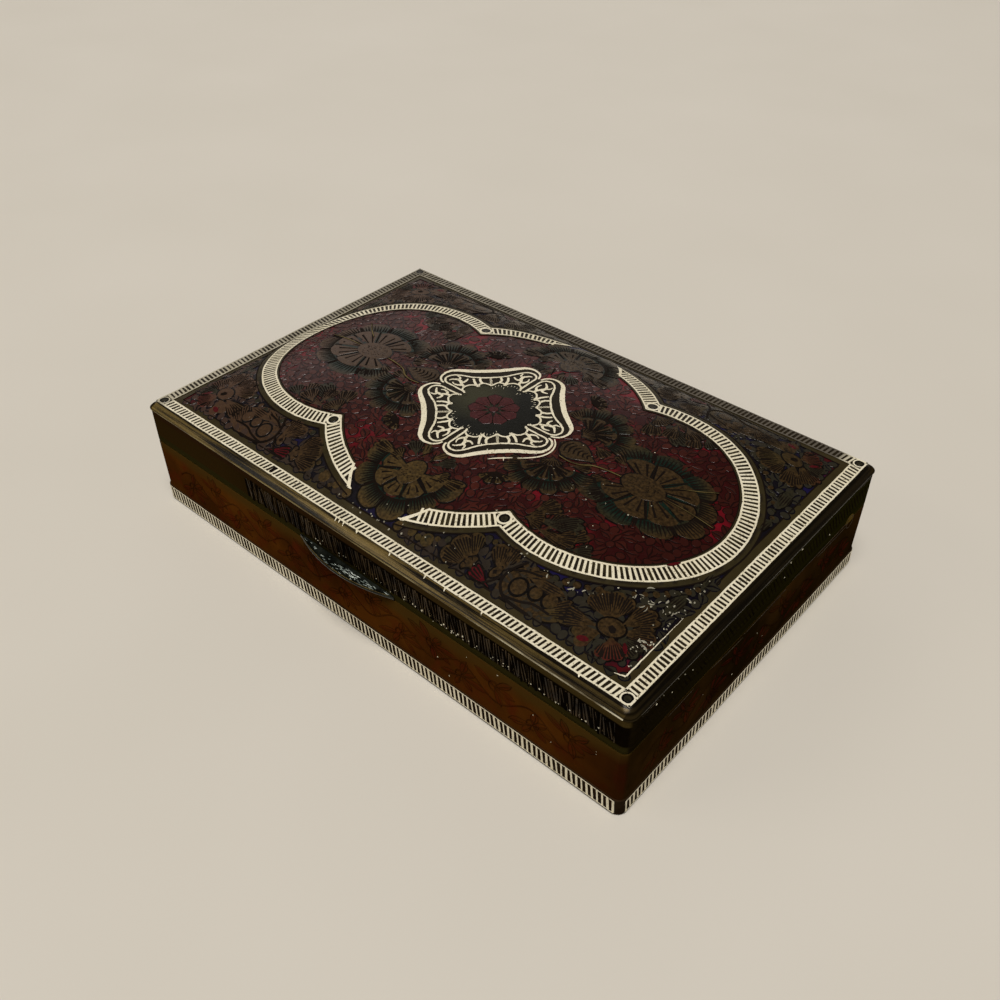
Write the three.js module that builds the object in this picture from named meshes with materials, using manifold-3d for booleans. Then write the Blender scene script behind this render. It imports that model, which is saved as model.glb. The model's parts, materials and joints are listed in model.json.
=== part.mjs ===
// A brass trinket box, closed: a hollow rectangular base and a lift-off lid with a domed, engraved top
// and a crescent thumb lip soldered to its front. Millimetres, +Z up, the front faces -Y.
// The origin is the centre of the underside.

import * as THREE from 'three';
import { mergeVertices } from 'three/addons/utils/BufferGeometryUtils.js';
import Module from 'manifold-3d';

const wasm = await Module();
wasm.setup();

// The box over its foot band
const boxLength = 152.4;
const boxWidth = 99.5;
const cornerRadius = 2.2;
// How far bands and ornament stand proud of the plain metal
const reliefHeight = 0.25;

// Base
const baseHeight = 19.4;
const baseWall = 1.6;
const floorThickness = 1.6;
const footBandBottom = 0.5;
const footBandHeight = 4.4;

// Rim inside the base that the lid sits round
const rimThickness = 1.2;
const rimRise = 4;
const rimLap = 6;
const rimClearance = 0.4;

// Lid
const seamGap = 0.3;
const lidHeight = 11.75;
const lidWall = 1.6;
const lidThickness = 1.4;
const shoulderWidth = 1.95;
const shoulderDrop = 1.9;
const borderWidth = 3.1;
const domeRise = 6;
const domePower = 4;

// Cartouche on the dome: a band round one middle and two end lobes, open where two palmettes cross it
const endLobeOffset = 38.7;
const endLobeRadius = 29.3;
const middleLobeRadius = 39;
const bandWidth = 4;
const palmetteGap = 17.5;

// Medallion in the middle of the dome
const medallionReach = 20;
const medallionDiagonal = 17.75;
const medallionNotch = 1.6;
const medallionOpening = 10.2;
const scallopDepth = 0.9;
const rosetteRadius = 5.5;
const rosetteScallop = 0.6;

// Flowers round the medallion
const petalDepth = 1.1;
const palmetteRadius = 10.4;
const palmetteOffset = 34;
const sprayRadius = 10.2;
const sprayOffset = 52;
const blossomRadius = 7.4;
const blossomAcross = 27.5;
const blossomAlong = 11;

// Thumb lip
const lipChord = 31;
const lipReach = 2.9;
const lipThickness = 1.1;
const lipOffset = -1.6;
const lipGap = 0.3;

// Places that follow from the sizes above
const wallLength = boxLength - 2 * reliefHeight;
const wallWidth = boxWidth - 2 * reliefHeight;
const lidBottom = baseHeight + seamGap;
const borderTop = lidBottom + lidHeight;
const groundTop = borderTop - reliefHeight;
const topLength = wallLength - 2 * shoulderWidth;
const topWidth = wallWidth - 2 * shoulderWidth;
const fieldLength = topLength - 2 * borderWidth;
const fieldWidth = topWidth - 2 * borderWidth;
const farAbove = borderTop + domeRise + lidThickness;
const roundSteps = 4;
const lobeSteps = 72;

function solidOf(geometry) {
  geometry.deleteAttribute('normal');
  geometry.deleteAttribute('uv');
  const merged = mergeVertices(geometry, 1e-4);
  const mesh = new wasm.Mesh({
    numProp: 3,
    vertProperties: Float32Array.from(merged.attributes.position.array),
    triVerts: Uint32Array.from(merged.index.array),
  });
  return new wasm.Manifold(mesh);
}

function geometryOf(solid) {
  const mesh = solid.getMesh();
  const geometry = new THREE.BufferGeometry();
  geometry.setAttribute('position', new THREE.BufferAttribute(mesh.vertProperties, mesh.numProp));
  geometry.setIndex(new THREE.BufferAttribute(mesh.triVerts, 1));
  return geometry;
}

function roundedRectangle(length, width, radius) {
  const x = length / 2 - radius;
  const y = width / 2 - radius;
  const quarter = Math.PI / 2;
  const shape = new THREE.Shape();
  shape.absarc(x, y, radius, 0, quarter);
  shape.absarc(-x, y, radius, quarter, 2 * quarter);
  shape.absarc(-x, -y, radius, 2 * quarter, 3 * quarter);
  shape.absarc(x, -y, radius, 3 * quarter, 4 * quarter);
  return shape;
}

function prism(shape, low, high) {
  const settings = { depth: high - low, bevelEnabled: false, curveSegments: roundSteps };
  const geometry = new THREE.ExtrudeGeometry(shape, settings);
  geometry.translate(0, 0, low);
  return solidOf(geometry);
}

// A closed ring of walls: the outline less its inset
function walls(length, width, thickness, low, high) {
  const outer = prism(roundedRectangle(length, width, cornerRadius), low, high);
  return outer.subtract(hollow(length, width, thickness, low - 1, high + 1));
}

function hollow(length, width, thickness, low, high) {
  const radius = Math.max(cornerRadius - thickness, cornerRadius / 4);
  return prism(roundedRectangle(length - 2 * thickness, width - 2 * thickness, radius), low, high);
}

// Height of the dome over the field's edge: flat in the middle, falling off near the border
function domeHeight(x, y) {
  const along = Math.min(Math.abs(x) / (fieldLength / 2), 1);
  const across = Math.min(Math.abs(y) / (fieldWidth / 2), 1);
  return domeRise * (1 - along ** domePower) * (1 - across ** domePower);
}

// A block over the field with a domed top, whose columns crowd towards the border
function domedBlock(low, topAtEdge, columns, rows) {
  const geometry = new THREE.BoxGeometry(1, 1, 1, columns, rows, 1);
  const place = geometry.attributes.position;
  for (let i = 0; i < place.count; i += 1) {
    const x = (Math.sin(Math.PI * place.getX(i)) * fieldLength) / 2;
    const y = (Math.sin(Math.PI * place.getY(i)) * fieldWidth) / 2;
    const z = place.getZ(i) > 0 ? topAtEdge + domeHeight(x, y) : low;
    place.setXYZ(i, x, y, z);
  }
  return solidOf(geometry);
}

function column(radius, x = 0, y = 0) {
  const geometry = new THREE.CylinderGeometry(radius, radius, farAbove - lidBottom, lobeSteps);
  geometry.rotateX(Math.PI / 2);
  geometry.translate(x, y, (farAbove + lidBottom) / 2);
  return solidOf(geometry);
}

// An upright prism whose outline is a radius for each angle round a centre
function radialPrism(radiusAt, steps, x = 0, y = 0, turn = 0) {
  const shape = new THREE.Shape();
  for (let i = 0; i < steps; i += 1) {
    const angle = (2 * Math.PI * i) / steps;
    const radius = radiusAt(angle);
    const px = x + radius * Math.cos(angle + turn);
    const py = y + radius * Math.sin(angle + turn);
    if (i === 0) shape.moveTo(px, py);
    else shape.lineTo(px, py);
  }
  shape.closePath();
  return prism(shape, lidBottom, farAbove);
}

function lobes(grow) {
  const ends = column(endLobeRadius + grow, endLobeOffset).add(column(endLobeRadius + grow, -endLobeOffset));
  return ends.add(column(middleLobeRadius + grow));
}

function cartoucheBand() {
  const opening = new THREE.BoxGeometry(palmetteGap, boxWidth, farAbove);
  opening.translate(0, 0, farAbove / 2);
  return lobes(bandWidth / 2).subtract(lobes(-bandWidth / 2)).subtract(solidOf(opening));
}

// A square set on its corner with blunt tips, and a small notch in each tip
function medallionEdge(angle) {
  const sharpness = 14;
  const c = Math.abs(Math.cos(angle));
  const s = Math.abs(Math.sin(angle));
  const diagonal = (c + s) / (medallionDiagonal * Math.SQRT2);
  const blunted = diagonal ** sharpness + (c / medallionReach) ** sharpness + (s / medallionReach) ** sharpness;
  const fromTip = Math.min(c, s) * medallionReach;
  return blunted ** (-1 / sharpness) - medallionNotch * Math.exp(-(fromTip ** 2) / 2);
}

function scalloped(radius, depth, petals) {
  return (angle) => radius + depth * Math.abs(Math.sin((petals * angle) / 2));
}

function medallion() {
  const ring = radialPrism(medallionEdge, 96);
  const opening = radialPrism(scalloped(medallionOpening, scallopDepth, 12), 96);
  const rosette = radialPrism(scalloped(rosetteRadius - rosetteScallop, rosetteScallop, 10), 60);
  return ring.subtract(opening).add(rosette);
}

function flowers() {
  const flower = (radius, petals, x, y, turn) =>
    radialPrism(scalloped(radius - petalDepth, petalDepth, petals), petals * 5, x, y, turn);
  const made = [];
  for (const side of [-1, 1]) {
    made.push(flower(palmetteRadius, 9, 0, side * palmetteOffset, (side * Math.PI) / 2));
    made.push(flower(sprayRadius, 9, side * sprayOffset, 0, side > 0 ? 0 : Math.PI));
    for (const end of [-1, 1]) {
      made.push(flower(blossomRadius, 7, side * blossomAcross, end * blossomAlong, 0));
    }
  }
  return made;
}

function baseSolid() {
  const inner = baseWall + rimClearance + rimThickness;
  let solid = prism(roundedRectangle(wallLength, wallWidth, cornerRadius), 0, baseHeight);
  solid = solid.add(walls(boxLength, boxWidth, baseWall, footBandBottom, footBandBottom + footBandHeight));
  solid = solid.subtract(hollow(wallLength, wallWidth, baseWall, floorThickness, baseHeight + 1));
  const lap = hollow(wallLength, wallWidth, baseWall / 2, baseHeight - rimLap, baseHeight);
  const rise = hollow(wallLength, wallWidth, baseWall + rimClearance, baseHeight - 1, baseHeight + rimRise);
  const bore = hollow(wallLength, wallWidth, inner, 0, baseHeight + rimRise + 1);
  return solid.add(lap.add(rise).subtract(bore));
}

function lidBlock() {
  const shape = roundedRectangle(topLength, topWidth, cornerRadius);
  const settings = {
    depth: lidHeight,
    bevelEnabled: true,
    bevelThickness: shoulderDrop,
    bevelSize: shoulderWidth,
    bevelSegments: 1,
    curveSegments: roundSteps,
  };
  const geometry = new THREE.ExtrudeGeometry(shape, settings);
  geometry.translate(0, 0, borderTop - shoulderDrop - lidHeight);
  const below = prism(roundedRectangle(2 * boxLength, 2 * boxWidth, cornerRadius), 0, lidBottom);
  return solidOf(geometry).subtract(below);
}

function lidSolid() {
  const columns = 26;
  const rows = 18;
  const plateBottom = groundTop - lidThickness;
  const field = new THREE.BoxGeometry(fieldLength, fieldWidth, 2 * reliefHeight);
  field.translate(0, 0, borderTop);
  let solid = lidBlock().subtract(solidOf(field));
  solid = solid.add(domedBlock(plateBottom, groundTop, columns, rows));
  let outlines = cartoucheBand().add(medallion());
  for (const flower of flowers()) outlines = outlines.add(flower);
  solid = solid.add(domedBlock(plateBottom, borderTop, columns, rows).intersect(outlines));
  solid = solid.subtract(hollow(wallLength, wallWidth, lidWall, lidBottom - 1, plateBottom));
  return solid.subtract(domedBlock(plateBottom - lidThickness, plateBottom, columns / 2, rows / 2));
}

function thumbLip() {
  const half = lipChord / 2;
  const radius = (half ** 2 + lipReach ** 2) / (2 * lipReach);
  const spread = Math.asin(half / radius);
  const shape = new THREE.Shape();
  shape.absarc(0, radius - lipReach, radius, -Math.PI / 2 - spread, -Math.PI / 2 + spread);
  shape.closePath();
  const settings = { depth: lipThickness, bevelEnabled: false, curveSegments: 24 };
  return new THREE.ExtrudeGeometry(shape, settings);
}

function piece(name, geometry, color, roughness, metalness) {
  const mesh = new THREE.Mesh(geometry, new THREE.MeshStandardMaterial({ color, roughness, metalness }));
  mesh.name = name;
  return mesh;
}

const box = new THREE.Group();

box.add(piece('base', geometryOf(baseSolid()), 0x4a2417, 0.38, 0.7));
box.add(piece('lid', geometryOf(lidSolid()), 0x3a2a20, 0.35, 0.7));

const lip = piece('thumb_lip', thumbLip(), 0x6d7460, 0.3, 0.9);
lip.position.set(lipOffset, -wallWidth / 2 - lipGap, lidBottom);
box.add(lip);

export default box;
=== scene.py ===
import json
import math
import random

import bmesh
import bpy
from mathutils import Matrix, Vector

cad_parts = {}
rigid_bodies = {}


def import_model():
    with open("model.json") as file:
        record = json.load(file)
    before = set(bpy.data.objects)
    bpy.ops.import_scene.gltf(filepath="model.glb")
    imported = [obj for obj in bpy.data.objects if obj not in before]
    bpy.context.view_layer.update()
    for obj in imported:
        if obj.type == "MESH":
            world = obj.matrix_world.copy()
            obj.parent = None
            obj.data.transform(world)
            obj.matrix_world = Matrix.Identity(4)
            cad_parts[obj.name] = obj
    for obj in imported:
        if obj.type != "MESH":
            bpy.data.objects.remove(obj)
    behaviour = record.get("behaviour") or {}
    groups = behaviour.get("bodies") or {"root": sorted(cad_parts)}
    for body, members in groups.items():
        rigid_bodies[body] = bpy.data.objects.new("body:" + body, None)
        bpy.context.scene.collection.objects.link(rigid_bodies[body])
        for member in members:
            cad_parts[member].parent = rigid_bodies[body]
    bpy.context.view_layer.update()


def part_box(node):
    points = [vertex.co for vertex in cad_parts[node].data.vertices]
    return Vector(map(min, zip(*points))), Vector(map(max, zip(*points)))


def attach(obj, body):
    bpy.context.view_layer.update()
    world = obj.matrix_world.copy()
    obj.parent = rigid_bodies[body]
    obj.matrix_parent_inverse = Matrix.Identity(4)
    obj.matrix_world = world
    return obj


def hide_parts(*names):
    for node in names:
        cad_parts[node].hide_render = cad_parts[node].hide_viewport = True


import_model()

MM = 0.001
BODY = "root"

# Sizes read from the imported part
lid_low, lid_high = (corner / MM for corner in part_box("lid"))
base_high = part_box("base")[1] / MM
lip_low, lip_high = (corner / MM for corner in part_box("thumb_lip"))
WALL_X, WALL_Y = lid_high.x, lid_high.y
FOOT_X, FOOT_Y = base_high.x, base_high.y
SEAM_LOW, SEAM_HIGH = 19.4, lid_low.z
DOME_RISE = 6.0
DOME_POWER = 4
RELIEF = 0.25
GROUND = lid_high.z - DOME_RISE - RELIEF

# Lid
SHOULDER = 1.95
BORDER = 3.1
CORNER = 2.2
PLATE = 1.4
WALL = 1.6
# Heights on the lid's sides: the engraved band's ends, and the bead under the bevel
BAND_LOW, BAND_HIGH = 21.7, 27.5
BEAD_LOW, BEAD_HIGH = 29.25, 29.75
# Top of the band round the base's foot
FOOT_TOP = 4.95
TOP_X, TOP_Y = WALL_X - SHOULDER, WALL_Y - SHOULDER
FIELD_X, FIELD_Y = TOP_X - BORDER, TOP_Y - BORDER
INSET_X, INSET_Y = FIELD_X - 1.85, FIELD_Y - 1.75

# Cartouche and medallion, both cut a little off the lid's middle
BAND_PLACE, MEDALLION_PLACE = (-0.6, -0.35), (-0.9, -0.2)
ENDS = {1: (37.3, 29.15), -1: (38.7, 29.6)}
MIDDLE_R = 38.6
BAND_HALF = 2.0


def dome_height(x, y):
    """Rise of the lid over its border at a place on its plan."""
    along = min(abs(x) / FIELD_X, 1) ** DOME_POWER
    across = min(abs(y) / FIELD_Y, 1) ** DOME_POWER
    return DOME_RISE * (1 - along) * (1 - across)


# Meshes

def mesh_from(name, points, faces, finish=None):
    """A mesh from points in millimetres, with each point's tone, reach and kind."""
    mesh = bpy.data.meshes.new(name)
    mesh.from_pydata([(x * MM, y * MM, z * MM) for x, y, z in points], [], faces)
    if finish:
        layer = mesh.attributes.new("finish", "FLOAT_COLOR", "POINT")
        layer.data.foreach_set("color", [v for f in finish for v in (*f, 1.0)])
    mesh.update()
    return mesh


def shade(mesh, degrees=38):
    mesh.shade_smooth()
    mesh.set_sharp_from_angle(angle=math.radians(degrees))


def show(name, mesh, material, slot, *replaced):
    """Puts a finished mesh in the scene and ties it to the box."""
    mesh.name = name
    mesh.materials.clear()
    mesh.materials.append(material)
    piece = bpy.data.objects.new(name, mesh)
    bpy.context.scene.collection.objects.link(piece)
    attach(piece, BODY)
    if replaced:
        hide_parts(*replaced)


def outward(mesh):
    """Merges doubles and turns every face of a closed mesh outwards."""
    made = bmesh.new()
    made.from_mesh(mesh)
    bmesh.ops.remove_doubles(made, verts=made.verts, dist=1e-7)
    bmesh.ops.recalc_face_normals(made, faces=made.faces)
    made.to_mesh(mesh)
    made.free()
    return mesh


def joined(name, meshes):
    """Several meshes made one, keeping their finish."""
    made = bmesh.new()
    for mesh in meshes:
        made.from_mesh(mesh)
    whole = bpy.data.meshes.new(name)
    made.to_mesh(whole)
    made.free()
    return whole


# Geometry Nodes

def wire(tree, node, inputs):
    """Links or sets a node's inputs, by name or number."""
    for key, value in inputs.items():
        socket = node.inputs[key]
        if isinstance(value, bpy.types.NodeSocket):
            tree.links.new(value, socket)
        else:
            socket.default_value = value


def add(tree, kind, inputs=None, **settings):
    node = tree.nodes.new(kind)
    for key, value in settings.items():
        setattr(node, key, value)
    wire(tree, node, inputs or {})
    return node


def start_tree(name, sizes):
    """A tree with geometry in and out and one named input for each size."""
    tree = bpy.data.node_groups.new(name, "GeometryNodeTree")
    tree.interface.new_socket("Geometry", in_out="INPUT", socket_type="NodeSocketGeometry")
    tree.interface.new_socket("Geometry", in_out="OUTPUT", socket_type="NodeSocketGeometry")
    kinds = {float: "NodeSocketFloat", int: "NodeSocketInt"}
    for label, value in sizes.items():
        kind = kinds.get(type(value)) or value
        tree.interface.new_socket(label, in_out="INPUT", socket_type=kind)
        if type(value) in kinds:
            tree.interface.items_tree[-1].default_value = value
    return tree, tree.nodes.new("NodeGroupInput").outputs, tree.nodes.new("NodeGroupOutput")


def maths(tree, operation, *values):
    return add(tree, "ShaderNodeMath", dict(enumerate(values)), operation=operation).outputs[0]


def lay_on_dome(tree, geometry, given):
    """Lifts flat work onto the domed lid. A rise of nothing leaves it flat."""
    place = add(tree, "ShaderNodeSeparateXYZ", {0: add(tree, "GeometryNodeInputPosition").outputs[0]})
    falls = []
    for axis, half in (("X", "Half length"), ("Y", "Half width")):
        share = maths(tree, "DIVIDE", maths(tree, "ABSOLUTE", place.outputs[axis]), given[half])
        power = maths(tree, "POWER", maths(tree, "MINIMUM", share, 1.0), float(DOME_POWER))
        falls.append(maths(tree, "SUBTRACT", 1.0, power))
    rise = maths(tree, "MULTIPLY", maths(tree, "MULTIPLY", falls[0], falls[1]), given["Rise"])
    lift = add(tree, "ShaderNodeCombineXYZ", {"Z": maths(tree, "ADD", rise, given["Ground"])})
    return add(tree, "GeometryNodeSetPosition", {"Geometry": geometry, "Offset": lift.outputs[0]}).outputs[0]


def finish_tree(tree, geometry, given, end):
    """Ends a tree: real meshes, laid on the dome, in their material."""
    whole = add(tree, "GeometryNodeRealizeInstances", {"Geometry": geometry}).outputs[0]
    laid = lay_on_dome(tree, whole, given)
    clad = add(tree, "GeometryNodeSetMaterial", {"Geometry": laid, "Material": given["Finish"]})
    tree.links.new(clad.outputs[0], end.inputs[0])
    return tree


ON_DOME = {"Half length": FIELD_X * MM, "Half width": FIELD_Y * MM,
           "Rise": DOME_RISE * MM, "Ground": GROUND * MM, "Finish": "NodeSocketMaterial"}


def random_between(tree, low, high, seed, salt):
    return add(tree, "FunctionNodeRandomValue",
               {2: low, 3: high, 8: maths(tree, "ADD", seed, float(salt))}).outputs[1]


def cut_line_tree():
    """Raised or inlaid lines that follow drawn paths, each as thick as its points say."""
    tree, given, end = start_tree("cut_lines", {"Height share": 0.5, **ON_DOME})
    curve = add(tree, "GeometryNodeMeshToCurve", {"Mesh": given["Geometry"]})
    curve = add(tree, "GeometryNodeSetCurveNormal", {"Curve": curve.outputs[0]}, mode="Z_UP")
    thick = add(tree, "GeometryNodeInputNamedAttribute", {"Name": "thick"})
    profile = add(tree, "GeometryNodeCurvePrimitiveQuadrilateral",
                  {"Bottom Width": 1.0, "Top Width": 0.72, "Height": given["Height share"],
                   "Offset": 0.0}, mode="TRAPEZOID")
    swept = add(tree, "GeometryNodeCurveToMesh",
                {"Curve": curve.outputs[0], "Profile Curve": profile.outputs[0],
                 "Scale": thick.outputs[0], "Fill Caps": True})
    return finish_tree(tree, swept.outputs[0], given, end)


def rung_tree():
    """Short bars set across a path at a steady pitch, a little uneven as by hand."""
    tree, given, end = start_tree("rungs", {
        "Pitch": 1.15 * MM, "Rung length": 3.0 * MM, "Rung width": 0.55 * MM, "Rung height": 0.2 * MM,
        "Lean": 0.1, "Unevenness": 0.08, "Seed": 1, **ON_DOME})
    curve = add(tree, "GeometryNodeMeshToCurve", {"Mesh": given["Geometry"]})
    spots = add(tree, "GeometryNodeCurveToPoints",
                {"Curve": curve.outputs[0], "Length": given["Pitch"]}, mode="LENGTH")
    along = add(tree, "FunctionNodeAlignRotationToVector",
                {"Vector": spots.outputs["Tangent"]}, axis="X", pivot_axis="Z")
    seed = given["Seed"]
    spread = given["Unevenness"]
    less = maths(tree, "MULTIPLY", spread, -1.0)
    lean = maths(tree, "MULTIPLY", random_between(tree, less, spread, seed, 1), 0.4)
    lean = maths(tree, "ADD", given["Lean"], lean)
    turn = add(tree, "FunctionNodeAxisAngleToRotation", {"Axis": (0, 0, 1), "Angle": lean})
    turned = add(tree, "FunctionNodeRotateRotation",
                 {"Rotation": along.outputs[0], "Rotate By": turn.outputs[0]}, rotation_space="LOCAL")
    wide = maths(tree, "ADD", 1.0, maths(tree, "MULTIPLY", random_between(tree, less, spread, seed, 2), 2.2))
    long = maths(tree, "ADD", 1.0, maths(tree, "ABSOLUTE", random_between(tree, less, spread, seed, 3)))
    size = add(tree, "ShaderNodeCombineXYZ", {"X": wide, "Y": long, "Z": 1.0})
    block = add(tree, "ShaderNodeCombineXYZ",
                {"X": given["Rung width"], "Y": given["Rung length"], "Z": given["Rung height"]})
    bar = add(tree, "GeometryNodeMeshCube", {"Size": block.outputs[0]})
    bars = add(tree, "GeometryNodeInstanceOnPoints",
               {"Points": spots.outputs["Points"], "Instance": bar.outputs[0],
                "Rotation": turned.outputs[0], "Scale": size.outputs[0]})
    return finish_tree(tree, bars.outputs[0], given, end)


def scatter_tree():
    """Small shapes packed at random over the part of a sheet that has room for them."""
    tree, given, end = start_tree("packed_leaves", {
        "Spacing": 1.4 * MM, "Density": 900000.0, "Smallest": 0.8, "Largest": 1.15, "Layering": 0.03 * MM,
        "Seed": 3, "Shapes": "NodeSocketCollection", **ON_DOME})
    room = add(tree, "GeometryNodeInputNamedAttribute", {"Name": "room"})
    spots = add(tree, "GeometryNodeDistributePointsOnFaces",
                {"Mesh": given["Geometry"], "Distance Min": given["Spacing"],
                 "Density Max": given["Density"], "Density Factor": room.outputs[0],
                 "Seed": given["Seed"]}, distribute_method="POISSON")
    seed = given["Seed"]
    angle = add(tree, "ShaderNodeCombineXYZ", {"Z": random_between(tree, 0.0, 2 * math.pi, seed, 4)})
    turn = add(tree, "FunctionNodeEulerToRotation", {"Euler": angle.outputs[0]})
    size = random_between(tree, given["Smallest"], given["Largest"], seed, 5)
    shapes = add(tree, "GeometryNodeCollectionInfo",
                 {"Collection": given["Shapes"], "Separate Children": True, "Reset Children": True})
    raised = add(tree, "ShaderNodeCombineXYZ", {"Z": random_between(tree, 0.0, given["Layering"], seed, 6)})
    lifted = add(tree, "GeometryNodeSetPosition",
                 {"Geometry": spots.outputs["Points"], "Offset": raised.outputs[0]})
    sown = add(tree, "GeometryNodeInstanceOnPoints",
               {"Points": lifted.outputs[0], "Instance": shapes.outputs[0], "Pick Instance": True,
                "Rotation": turn.outputs[0], "Scale": size})
    return finish_tree(tree, sown.outputs[0], given, end)


def grown(name, mesh, tree, material, **sizes):
    """Runs a tree over a mesh once and gives back the plain mesh it makes."""
    holder = bpy.data.objects.new(name + "_drawing", mesh)
    bpy.context.scene.collection.objects.link(holder)
    modifier = holder.modifiers.new("growth", "NODES")
    modifier.node_group = tree
    values = {key.replace("_", " "): value for key, value in sizes.items()}
    values["Finish"] = material
    for item in tree.interface.items_tree:
        if item.in_out == "INPUT" and item.name in values:
            modifier[item.identifier] = values.pop(item.name)
    assert not values, values
    bpy.context.view_layer.update()
    graph = bpy.context.evaluated_depsgraph_get()
    result = bpy.data.meshes.new_from_object(holder.evaluated_get(graph))
    holder.modifiers.remove(modifier)
    bpy.data.objects.remove(holder)
    result.name = name
    return result


# Drawing in plan

def smooth(points, steps=4, closed=False):
    """A rounder path through the given points."""
    n = len(points)
    result = []
    for i in range(n if closed else n - 1):
        p = [points[(i + k) % n] if closed else points[min(max(i + k, 0), n - 1)] for k in (-1, 0, 1, 2)]
        for s in range(steps):
            t = s / steps
            result.append(tuple(
                0.5 * (2 * p[1][a] + (p[2][a] - p[0][a]) * t
                       + (2 * p[0][a] - 5 * p[1][a] + 4 * p[2][a] - p[3][a]) * t * t
                       + (3 * p[1][a] - p[0][a] - 3 * p[2][a] + p[3][a]) * t ** 3)
                for a in range(len(p[0]))))
    if not closed:
        result.append(tuple(points[-1]))
    return result


def arc(cx, cy, r, start, stop, steps):
    angles = [math.radians(start + (stop - start) * i / steps) for i in range(steps + 1)]
    return [(cx + r * math.cos(a), cy + r * math.sin(a)) for a in angles]


def wobble(points, amount, seed):
    """Points moved a little at random, as a hand would."""
    chance = random.Random(seed)
    return [(x + chance.uniform(-amount, amount), y + chance.uniform(-amount, amount)) for x, y in points]


def straight(a, b, steps=24):
    return [(a[0] + (b[0] - a[0]) * i / steps, a[1] + (b[1] - a[1]) * i / steps) for i in range(steps + 1)]


def is_anticlockwise(points):
    return sum(a[0] * b[1] - b[0] * a[1] for a, b in zip(points, points[1:] + points[:1])) > 0


def inset(points, distance):
    """An anticlockwise outline moved inwards."""
    n = len(points)
    result = []
    for i in range(n):
        ax, ay = points[i - 1]
        bx, by = points[(i + 1) % n]
        dx, dy = bx - ax, by - ay
        size = math.hypot(dx, dy) or 1
        result.append((points[i][0] - dy / size * distance, points[i][1] + dx / size * distance))
    return result


class Hand:
    """How one copy of a motif lies: mirrored, moved to its place, and a little off true."""

    def __init__(self, sx=1, sy=1, slack=0.0, seed=0, place=(0, 0)):
        chance = random.Random(seed)
        self.sx, self.sy, self.place = sx, sy, place
        self.dx, self.dy = (chance.uniform(-slack, slack) for _ in "xy")

    def __call__(self, points):
        return [(self.place[0] + self.sx * (p[0] + self.dx), self.place[1] + self.sy * (p[1] + self.dy))
                for p in points]


# How deep raised shapes reach under the ground, and their groove and crown
UNDER = -0.08
GROOVE_DEPTH, GROOVE_SLOPE, CROWN = 0.045, 0.06, 0.004
# Height of a drawn line as a share of its width
LINE_SHARE = 0.2


class Relief:
    """Raised shapes with a dark cut round each, every one a closed solid."""

    def __init__(self, on_dome=True):
        self.points, self.faces, self.finish, self.on_dome = [], [], [], on_dome

    def put(self, x, y, lift, tone, reach, kind):
        z = lift + (GROUND + dome_height(x, y) if self.on_dome else 0)
        self.points.append((x, y, z))
        self.finish.append((tone, reach, kind))

    def shape(self, outline, lift, kind=0.0, cut=0.34, root=None, far=1.0, low=UNDER, flat=False):
        """Adds one shape: its cut is this wide, and its colours run from the root as far as given."""
        if not is_anticlockwise(outline):
            outline = outline[::-1]
        n = len(outline)
        middle = (sum(p[0] for p in outline) / n, sum(p[1] for p in outline) / n)
        body = inset(outline, cut + GROOVE_SLOPE)
        heart = [(middle[0] + (p[0] - middle[0]) * 0.55, middle[1] + (p[1] - middle[1]) * 0.55)
                 for p in body]
        groove = lift - GROOVE_DEPTH
        rings = [(outline, low, 0), (outline, groove, 0), (inset(outline, cut), groove, 0),
                 (body, lift, 1), (heart, lift + CROWN * 0.8, 1)][:4 if flat else 5]
        start = len(self.points)
        for ring, z, tone in rings:
            for x, y in ring:
                reach = math.dist((x, y), root) / far if root else 0.5
                self.put(x, y, z, tone, reach, kind)
        for k in range(len(rings) - 1):
            a, b = start + k * n, start + (k + 1) * n
            for i in range(n):
                j = (i + 1) % n
                self.faces.append((a + i, a + j, b + j, b + i))
        last = start + (len(rings) - 1) * n
        if flat:
            self.faces.append(tuple(last + i for i in range(n)))
        else:
            top = len(self.points)
            self.put(*middle, lift + CROWN, 1, math.dist(middle, root) / far if root else 0.5, kind)
            self.faces += [(last + i, last + (i + 1) % n, top) for i in range(n)]
        self.faces.append(tuple(start + i for i in reversed(range(n))))

    def mesh(self, name):
        mesh = mesh_from(name, self.points, self.faces, self.finish)
        shade(mesh, 14)
        return mesh


class Lines:
    """Drawn lines, each with a thickness and the height of its upper face, the same or by its length."""

    def __init__(self):
        self.points, self.edges, self.thick = [], [], []

    def add(self, path, thick, top, closed=False):
        start = len(self.points)
        n = len(path)
        for i, p in enumerate(path):
            t = i / max(n - 1, 1)
            here = thick(t) if callable(thick) else thick
            level = top(t) if callable(top) else top
            self.points.append((p[0] * MM, p[1] * MM, (level - here * LINE_SHARE / 2) * MM))
            self.thick.append(here * MM)
            if i:
                self.edges.append((start + i - 1, start + i))
        if closed:
            self.edges.append((start + n - 1, start))

    def drawing(self, name):
        mesh = bpy.data.meshes.new(name)
        mesh.from_pydata(self.points, self.edges, [])
        mesh.attributes.new("thick", "FLOAT", "POINT").data.foreach_set("value", self.thick)
        return mesh


def pointed(thick, tip=0.25):
    """Thickness that swells in the middle of a stroke and thins at both ends."""
    return lambda t: thick * (tip + (1 - tip) * math.sin(math.pi * min(max(t, 0.0), 1.0)) ** 0.6)


def tapering(start, stop):
    return lambda t: start + (stop - start) * t


def uneven(thick):
    """Thickness of a long line cut by hand."""
    return lambda t: thick * (1 + 0.14 * math.sin(61 * t) * math.sin(23 * t + 1) + 0.07 * math.sin(171 * t))


# Motifs

petals = Relief()
dark_cuts = Lines()
fine_cuts = Lines()
cream_lines = Lines()
stems = Lines()

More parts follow.
